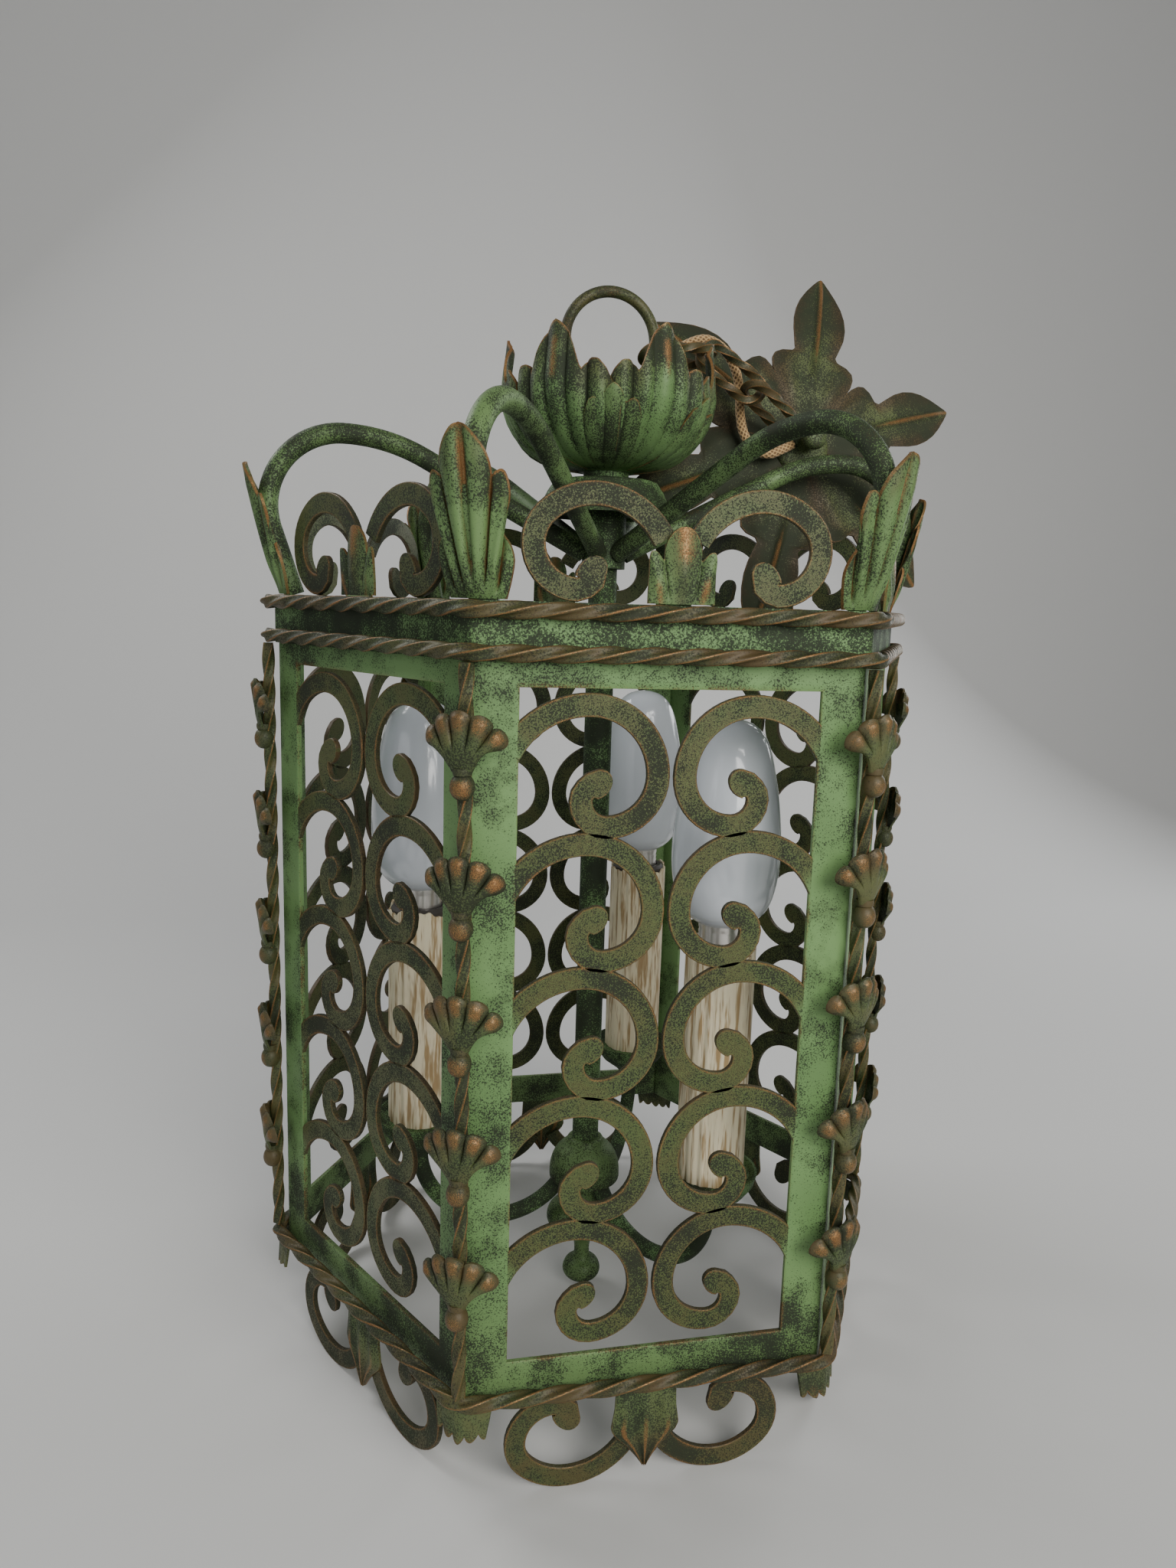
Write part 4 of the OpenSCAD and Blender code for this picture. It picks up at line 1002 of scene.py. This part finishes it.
path = arm_path()
grid = sweep(path, (0, 1, 0), at_angle(5.7, angles(28)))
upper = np.cos(angles(28))[None, :]
arm = Piece().tube(grid, tint(grid.shape[:2], 0.1 + 0.12 * upper, 0.35, 0.0, 0.75))
six(arm, FIRST_CORNER, "bent_arm", "crown_arm", "sage_iron")
print("an arm runs %.0f mm" % np.linalg.norm(np.diff(path, axis=0), axis=1).sum())

# %% [markdown]
# ## The leaf cup
#
# Six cast leaves overlap round a bowl on the hub. Each is wider than its share and lies a
# little over its neighbour on one side. Its middle rises to a point that turns in slightly, its
# lower side lobes are rounded, and every flute runs down to the foot of the bowl. Six lower
# leaves lie over the joints. All of them are laid on one bowl, a table of radius over height.

# %% Leaf cup
TALL_RIM = ([0, 2, 5, 8, 11, 13.5, 15, 17, 20, 24, 28, 31, 34, 36],
            [73, 72, 69, 64.5, 58, 50, 46, 49, 52, 51.5, 47, 41, 35, 31])
LOW_RIM = ([0, 2, 4.5, 6.5, 8, 10, 12.5, 15, 17], [39, 38, 35, 29.5, 31, 32, 30.5, 25, 17])
BOWL = ([0, 2, 5, 9, 14, 20, 26, 34, 42, 56, 73], [15, 28, 38, 45, 50.5, 54.8, 57.9, 60.4, 61.6, 61.0, 59.4])


def cup_leaf(up=49, across=57):
    """One leaf: the angle goes across it, the height follows a lobed rim, the radius is the bowl's."""
    v, u = across_and_up(across, up)
    half = 36
    z = np.interp(np.abs(u) * half, *TALL_RIM) * v
    flute = np.abs(np.cos(u * np.pi * 3.0)) ** 0.7
    r = np.interp(z, *BOWL) + (flute - 0.75) * 3.4 * smooth(v, 0.0, 0.16)
    r = r + u * smooth(v, 0.0, 0.3) + 1.3 * np.sin(np.pi * v) ** 2
    a = u * np.radians(half)
    front = polar(r, a, z)
    back = polar(r - 1.5, a, z + 1.2 * (1 - v))
    valley = (1 - flute) ** 2
    crest = np.exp(-(u / 0.07) ** 2) * smooth(v, 0.5, 0.65) * (1 - smooth(v, 0.85, 0.95))
    worn = np.maximum(0.72 * crest, smooth(v, 0.955, 1.0) * 0.85)
    worn = np.maximum(worn, smooth(np.abs(u), 0.965, 1.0) * 0.7)
    olive, bronze = 0.1 + 0.6 * smooth(v, 0.45, 1.0), 0.3 * smooth(v, 0.6, 1.0)
    soot = 0.1 + 0.6 * smooth(v, 0.3, 0.8) + 1.1 * valley
    return front, back, tint(worn.shape, worn, olive, bronze, soot)


def low_leaf(up=25, across=45):
    """A lower leaf laid over the joint of two tall ones, with its own lobed rim."""
    v, u = across_and_up(across, up)
    half = 17
    z = np.interp(np.abs(u) * half, *LOW_RIM) * v
    flute = np.abs(np.cos(u * np.pi * 1.5)) ** 0.7
    r = np.interp(z, *BOWL) + 2.3 + (flute - 0.7) * 2.6 * smooth(v, 0.05, 0.3)
    a = np.radians(u * half + 2)
    front = polar(r, a, z)
    back = polar(r - 1.4, a, z + 0.8 * (1 - v))
    worn = np.maximum(smooth(v, 0.93, 1.0), smooth(np.abs(u), 0.94, 1.0)) * 0.8
    return front, back, tint(worn.shape, worn, 0.1 + 0.3 * v, 0, 0.15 + 0.3 * v + 1.1 * (1 - flute) ** 2)


front, back, paint = cup_leaf()
one = place(Piece().slab(front, back, paint), [0, 0, CUP_Z])
disc = lathe(np.array([(0.3, 0.0), (16.0, 0.0), (17, 0.8), (16.0, 1.8), (0.3, 1.8)]), 48)
floor_disc = Piece().tube(disc, tint(disc.shape[:2], 0.1))
front, back, paint = low_leaf()
low = place(Piece().slab(front, back, paint), [0, 0, CUP_Z])
tall_ones = [one.turned(-72 + 60 * k) for k in range(6)]
low_ones = [low.turned(-42 + 60 * k) for k in range(6)]
cup = join(place(floor_disc, [0, 0, CUP_Z]), *tall_ones, *low_ones)
cup.make("leaf_bowl", IRON, "lantern", ["leaf_cup"], "sage_iron", crease=50)
print("points in the cup:", cup.count)

# %% [markdown]
# ## Hanging loop and chain
#
# The loop is a plain round bar bent into a bow. The chain is bent from twisted square bar: the
# centre line of a link is two straights and two half circles, and the profile turns twice on
# its way round.

# %% Loop and chain
def loop_path():
    """Two legs and a half circle, in the plane across the front."""
    bow = LOOP_TOP - 3.3 - LOOP_R
    a = np.linspace(0, np.pi, 40)
    arc = np.column_stack([LOOP_R * np.cos(a), bow + LOOP_R * np.sin(a)])
    q = np.vstack([[LOOP_R, CUP_Z + 6.4], arc, [-LOOP_R, CUP_Z + 6.4]])
    return np.column_stack([q[:, 0], np.zeros(len(q)), q[:, 1]])


grid = sweep(loop_path(), (0, -1, 0), at_angle(3.27, angles(24)))
loop = Piece().tube(grid, tint(grid.shape[:2], 0.3, 0.9, 0.45, 0.7))
loop.make("hanging_bow", IRON, "lantern", ["hanging_loop"], "sage_iron")

WIRE_C, STRAIGHT, LINK_R = 4.6 / np.sqrt(2), 27.0, 8.8


def link(centre, direction, flat):
    """Closed link of twisted bar: two straights and two half circles in the plane across flat."""
    t = direction / np.linalg.norm(direction)
    n = np.cross(flat, t)
    n = n / np.linalg.norm(n)
    up = np.cross(t, n)
    a = np.radians(np.linspace(-90, 90, 24, endpoint=False))
    s = np.linspace(0, 1, 16, endpoint=False)
    end = np.column_stack([STRAIGHT / 2 + LINK_R * np.cos(a), LINK_R * np.sin(a)])
    side = np.column_stack([STRAIGHT / 2 - STRAIGHT * s, np.full(16, LINK_R)])
    flat_path = np.vstack([end, side, -end, -side])
    path = centre + flat_path[:, :1] * t + flat_path[:, 1:] * n
    run = np.concatenate([[0], np.cumsum(np.linalg.norm(np.diff(path, axis=0), axis=1))])
    whole = run[-1] + np.linalg.norm(path[0] - path[-1])
    profile, ridge = square_bar(4.6, 16)
    grid = sweep(path, -up, profile, -4 * np.pi * run / whole, closed=True)
    return grid, tint(grid.shape[:2], ridge * 0.95, 0.6, 0.85, 0.3)


def chain_links():
    """Centre, direction and flat side of the three links, each hooked through the one before it."""
    reach, hook = STRAIGHT / 2 + LINK_R, 2 * WIRE_C + 0.4
    leg = np.array([LOOP_R, 0, LOOP_TOP - 36])
    unit = lambda d: d / np.linalg.norm(d)
    u1, u2 = unit(np.array([0.986, 0.167, 0.082])), unit(np.array([0.722, -0.148, -0.526]))
    c1 = leg + (reach - WIRE_C - 3.3 - 0.4) * u1
    c2 = c1 + reach * u1 + (reach - hook) * u2
    stop = CANOPY_P + [-8.1, -9.8, 5.7]
    u3 = unit(stop - (c2 + reach * u2))
    c3 = stop - (reach + WIRE_C) * u3
    return [(c1, u1, (0, 0.365, 1)), (c2, u2, (-0.386, 1, 0)), (c3, u3, (-0.18, 0, 1))]


chain = Piece()
for centre, direction, flat in chain_links():
    chain.grid(*link(centre, direction, np.array(flat, float)), wrap_u=True, wrap_v=True, flip=True)
chain.make("twisted_chain", IRON, "lantern", ["chain"], "bronze_iron", crease=60)
print("links:", len(chain_links()))

# %% [markdown]
# ## The ceiling canopy
#
# The canopy that hides the hook in the ceiling lies behind an arm. It is a star of six leaves,
# each with two rounded side lobes, a waist and a long pointed blade. Its outline is read off a
# table along the leaf, its blade carries a raised midrib, and the whole star is slightly domed.

# %% Canopy
STAR_X = [14, 30, 40, 48, 54, 58, 61, 62.5, 65, 70, 78, 86, 94, 102, 110, 117, 121, 122.6]
STAR_HALF = [7.9, 17.4, 23.6, 27.2, 28.2, 27.0, 22.5, 15.8, 14.0, 15.4, 17.4, 17.9, 16.8, 14.2, 10.0,
             5.4, 2.4, 0.5]
STAR_SPIN, STAR_LEAN = 18, 10


def canopy_leaf(rows=111, across=33):
    """A leaf in its own plane: x runs outwards, y across, and z falls away with distance squared.

    The rows are closest where the table's are, so the notch between lobe and blade stays sharp.
    """
    fine, knots = np.linspace(0, 1, 400), np.linspace(0, 1, len(STAR_X))
    x = np.interp(np.linspace(0, 1, rows), fine, np.interp(fine, knots, STAR_X))[:, None]
    u = np.linspace(1, -1, across)[None, :]
    y = np.interp(x, STAR_X, STAR_HALF) * u
    drop = 25 * (x * x + y * y) / 123 ** 2
    rib = 2.6 * np.exp(-(y / 1.9) ** 2) * smooth(x, 30, 60) * (1 - 0.8 * smooth(x, 108, 122))
    cup = 7.0 * (y / 17) ** 2 * smooth(x, 60, 78)
    lobes = 1.8 * np.exp(-((np.abs(u) - 0.62) / 0.2) ** 2) * (1 - smooth(x, 52, 66)) * smooth(x, 26, 42)
    z = -drop + rib + lobes + cup * 0.4
    front = np.stack([x + 0 * u, y, z], axis=-1)
    midrib = 0.95 * np.exp(-(y / 1.9) ** 2) * smooth(x, 40, 70)
    worn = np.maximum(midrib, smooth(np.abs(u), 0.94, 1.0) * 0.6)
    bronze = 0.25 + 0.6 * smooth(np.abs(u), 0.3, 0.9)
    return front, front - [0, 0, 1.8], tint(worn.shape, worn, 0.7, bronze, 1.4)


def stand_up(piece):
    """Turns a canopy lying flat so that it faces the front, spins it and puts it in its place."""
    spin, lean = about_z(STAR_SPIN), np.radians(90 - STAR_LEAN)
    face = np.array([[1, 0, 0], [0, np.cos(lean), np.sin(lean)], [0, -np.sin(lean), np.cos(lean)]])
    return piece.moved(lambda p: p @ spin @ face + CANOPY_P)


front, back, paint = canopy_leaf()
one = Piece().slab(front, back, paint)
KNOB = [(18, -3), (18.2, -1), (17.5, 1.2), (15, 2.8), (9.5, 4), (6, 5), (5, 7), (5, 15), (6.5, 16.4),
        (8.1, 18.6), (8.2, 21), (7, 23.4), (4, 24.8), (0.4, 25.1)]
grid = lathe(curve_through(KNOB, 60), 40)
knob = Piece().tube(grid, tint(grid.shape[:2], 0.25, 0.6, 0.3, 0.6))
canopy = stand_up(join(knob, *[one.turned(60 * k) for k in range(6)]))
canopy.make("ceiling_star", IRON, "lantern", ["canopy"], "sage_iron", crease=50)
print("points in the canopy:", canopy.count)

# %% [markdown]
# ## Candle lamps
#
# Inside the cage three arms curve up from a turned hub to drip cups. A sleeve stands in each,
# with long runs down its side, and an opal bulb screws into the holder at its top. The sleeve's
# radius is a circle with a few narrow waves that wander with height, and its top edge is torn.
# A bulb is turned from one profile: a cap whose thread steps in and out, then the glass.

# %% Sleeves and bulbs
CANDLE_R, SLEEVE_Z, SLEEVE_H, GLASS_Z = 108, 130, 140, 281.0


def wax_sleeve():
    """Round sleeve with vertical runs: thin grooves in its radius wander slightly with height."""
    a = angles(144)
    z = np.linspace(0, SLEEVE_H, 41)[:, None]
    wave = 0.5 * np.sin(17 * a + 0.4 * np.sin(z / 23)) + 0.35 * np.sin(29 * a + 1.3)
    wave = wave + 0.3 * np.sin(7 * a + z / 60)
    r = 19.55 + 0.42 * np.tanh(1.6 * wave)
    torn = 1.6 * np.sin(3 * a + 1) + 0.9 * np.sin(8 * a) + 0.6 * np.sin(19 * a + 2) - 3.0
    height = z + torn * (z / SLEEVE_H) ** 6
    bore = np.full(r.shape, 18.4)
    return np.concatenate([polar(r, a, height), polar(bore, a, height)[::-1]])


def bulb_shape():
    """Profile of an opal bulb with its screw cap, as (radius, height), and where it is metal."""
    thread = [(13.15 - 0.45 * (k % 2), 247 + 1.4 * k) for k in range(23)]
    cap = [(0.3, 240.4), (9, 240.4), (12.6, 245)] + thread + [(13.2, GLASS_Z - 0.3)]
    table = [(0.5, 0), (0.66, 0.03), (0.82, 0.08), (0.93, 0.16), (0.99, 0.26), (1, 0.36), (0.985, 0.47),
             (0.93, 0.6), (0.85, 0.72), (0.74, 0.84), (0.61, 0.92), (0.42, 0.97), (0.2, 0.993), (0.01, 1)]
    glass = curve_through(np.array(table) * [29.9, 113.8] + [0, GLASS_Z], 90)
    return np.array(cap), glass


def at_candle(piece, k):
    """Moves a piece that stands on the axis to candle k."""
    a = np.radians(120 * k - 60)
    return place(piece, [CANDLE_R * np.cos(a), CANDLE_R * np.sin(a), 0])


grid = wax_sleeve()
sleeve = Piece().grid(grid, tint(grid.shape[:2]), wrap_u=True, wrap_v=True, flip=True)
sleeve = place(sleeve, [0, 0, SLEEVE_Z])
cap, glass = bulb_shape()
grid = lathe(np.vstack([cap, glass]), 64)
metal = (np.arange(len(grid)) < len(cap))[:, None] * 1.0
bulb = Piece().tube(grid, tint(grid.shape[:2], metal))
for k in range(3):
    name = lambda stem: "%s_%d" % (stem, k + 1)
    at_candle(sleeve, k).make(name("wax_sleeve"), WAX, "lantern", [name("candle_sleeve")], "wax_sleeve")
    at_candle(bulb, k).make(name("opal_bulb"), OPAL, name("bulb_body"), [name("bulb")], "opal_glass", 50)
print("made three candles")

# %% [markdown]
# ## The turned hub and what stays as it is
#
# The hub under the candles is turned: a dome, a slim waist, a dish and a finial. The tube, the
# band, the holders, the candle arms and the top hub already have their shape in the solid
# model, so they only get their finish.

# %% Hub, band and other solids
HUB = [(0.4, 5), (6, 5.3), (11, 8.5), (12.5, 13), (10.5, 18), (6.5, 20.6), (5, 25), (6, 33), (12, 41),
       (21, 45.6), (24, 50), (22.5, 56), (16, 60), (11.2, 63), (11, 75), (11, 98), (14, 98), (18.5, 92),
       (21, 82), (22, 80), (23, 81), (22.4, 90), (19, 98), (13, 104), (10, 107.6), (0.4, 107.8)]
grid = lathe(curve_through(HUB, 150), 64)
hub = Piece().tube(grid, tint(grid.shape[:2], 0.15, 0.4, 0, 0.6))
hub.make("turned_hub", IRON, "lantern", ["candle_hub"], "sage_iron")
for name, node in nodes.items():
    if name.startswith("lamp_holder"):
        look = HOLDER
    elif name in ("hub", "central_tube", "top_band") or name.startswith("candle_arm"):
        look = IRON
    else:
        continue
    node.data.materials.clear()
    node.data.materials.append(look)
print("finished the kept solids")

# %% [markdown]
# ## Floor and light
#
# A pale floor that bends up into a backdrop, one large soft light high on the camera's right, a
# weak one from the left, and two from behind for the edges. The world adds a little light from
# everywhere, so that the dark ironwork never turns black.

# %% Stage
def sweep_floor():
    """Floor that runs back, bends up in a quarter circle and becomes a wall."""
    a = np.linspace(0, np.pi / 2, 24)
    y = np.concatenate([[-2500], 900 + 700 * np.sin(a), [1600]])
    z = np.concatenate([[0], 700 - 700 * np.cos(a), [3200]])
    x = np.array([-3500.0, 3500.0])[None, :]
    return np.stack([x + 0 * y[:, None], y[:, None] + 0 * x, z[:, None] + 0 * x], axis=-1)


grid = sweep_floor()
mesh = bpy.data.meshes.new("floor")
mesh.from_pydata((grid.reshape(-1, 3) * MM).tolist(), [], quads(*grid.shape[:2])[:, ::-1].tolist())
mesh.shade_smooth()
pale = Finish("pale_floor")
mesh.materials.append(pale.set(Base_Color=(0.58, 0.58, 0.57, 1.0), Roughness=0.9))
floor = bpy.data.objects.new("floor", mesh)
bpy.context.scene.collection.objects.link(floor)


def soft_light(name, place_at, aim, size, power, colour=(1, 1, 1)):
    """A square area light at a point, looking at another."""
    data = bpy.data.lights.new(name, "AREA")
    data.shape, data.size, data.energy, data.color = "SQUARE", size, power, colour
    lamp = bpy.data.objects.new(name, data)
    z = np.array(place_at) - np.array(aim)
    z = z / np.linalg.norm(z)
    x = np.cross([0, 0, 1.0], z)
    x = x / np.linalg.norm(x)
    m = np.eye(4)
    m[:3, 0], m[:3, 1], m[:3, 2], m[:3, 3] = x, np.cross(z, x), z, place_at
    lamp.matrix_world = m.T
    bpy.context.scene.collection.objects.link(lamp)


soft_light("key", (0.55, -1.8, 1.15), (0, 0, 0.35), 1.3, 46, (1.0, 0.98, 0.94))
soft_light("fill", (-1.6, -1.1, 0.7), (0, 0, 0.3), 1.2, 5, (0.94, 0.97, 1.0))
soft_light("rim", (-1.0, 0.7, 1.4), (0, 0, 0.4), 0.7, 12)
soft_light("back", (1.3, 0.9, 0.9), (0, 0, 0.3), 0.9, 9, (0.96, 0.98, 1.0))
world = bpy.data.worlds.new("studio")
bpy.context.scene.world = world
world.use_nodes = True
sky = world.node_tree.nodes["Background"]
sky.inputs["Color"].default_value = (0.75, 0.77, 0.8, 1)
sky.inputs["Strength"].default_value = 0.22
print("stage set")
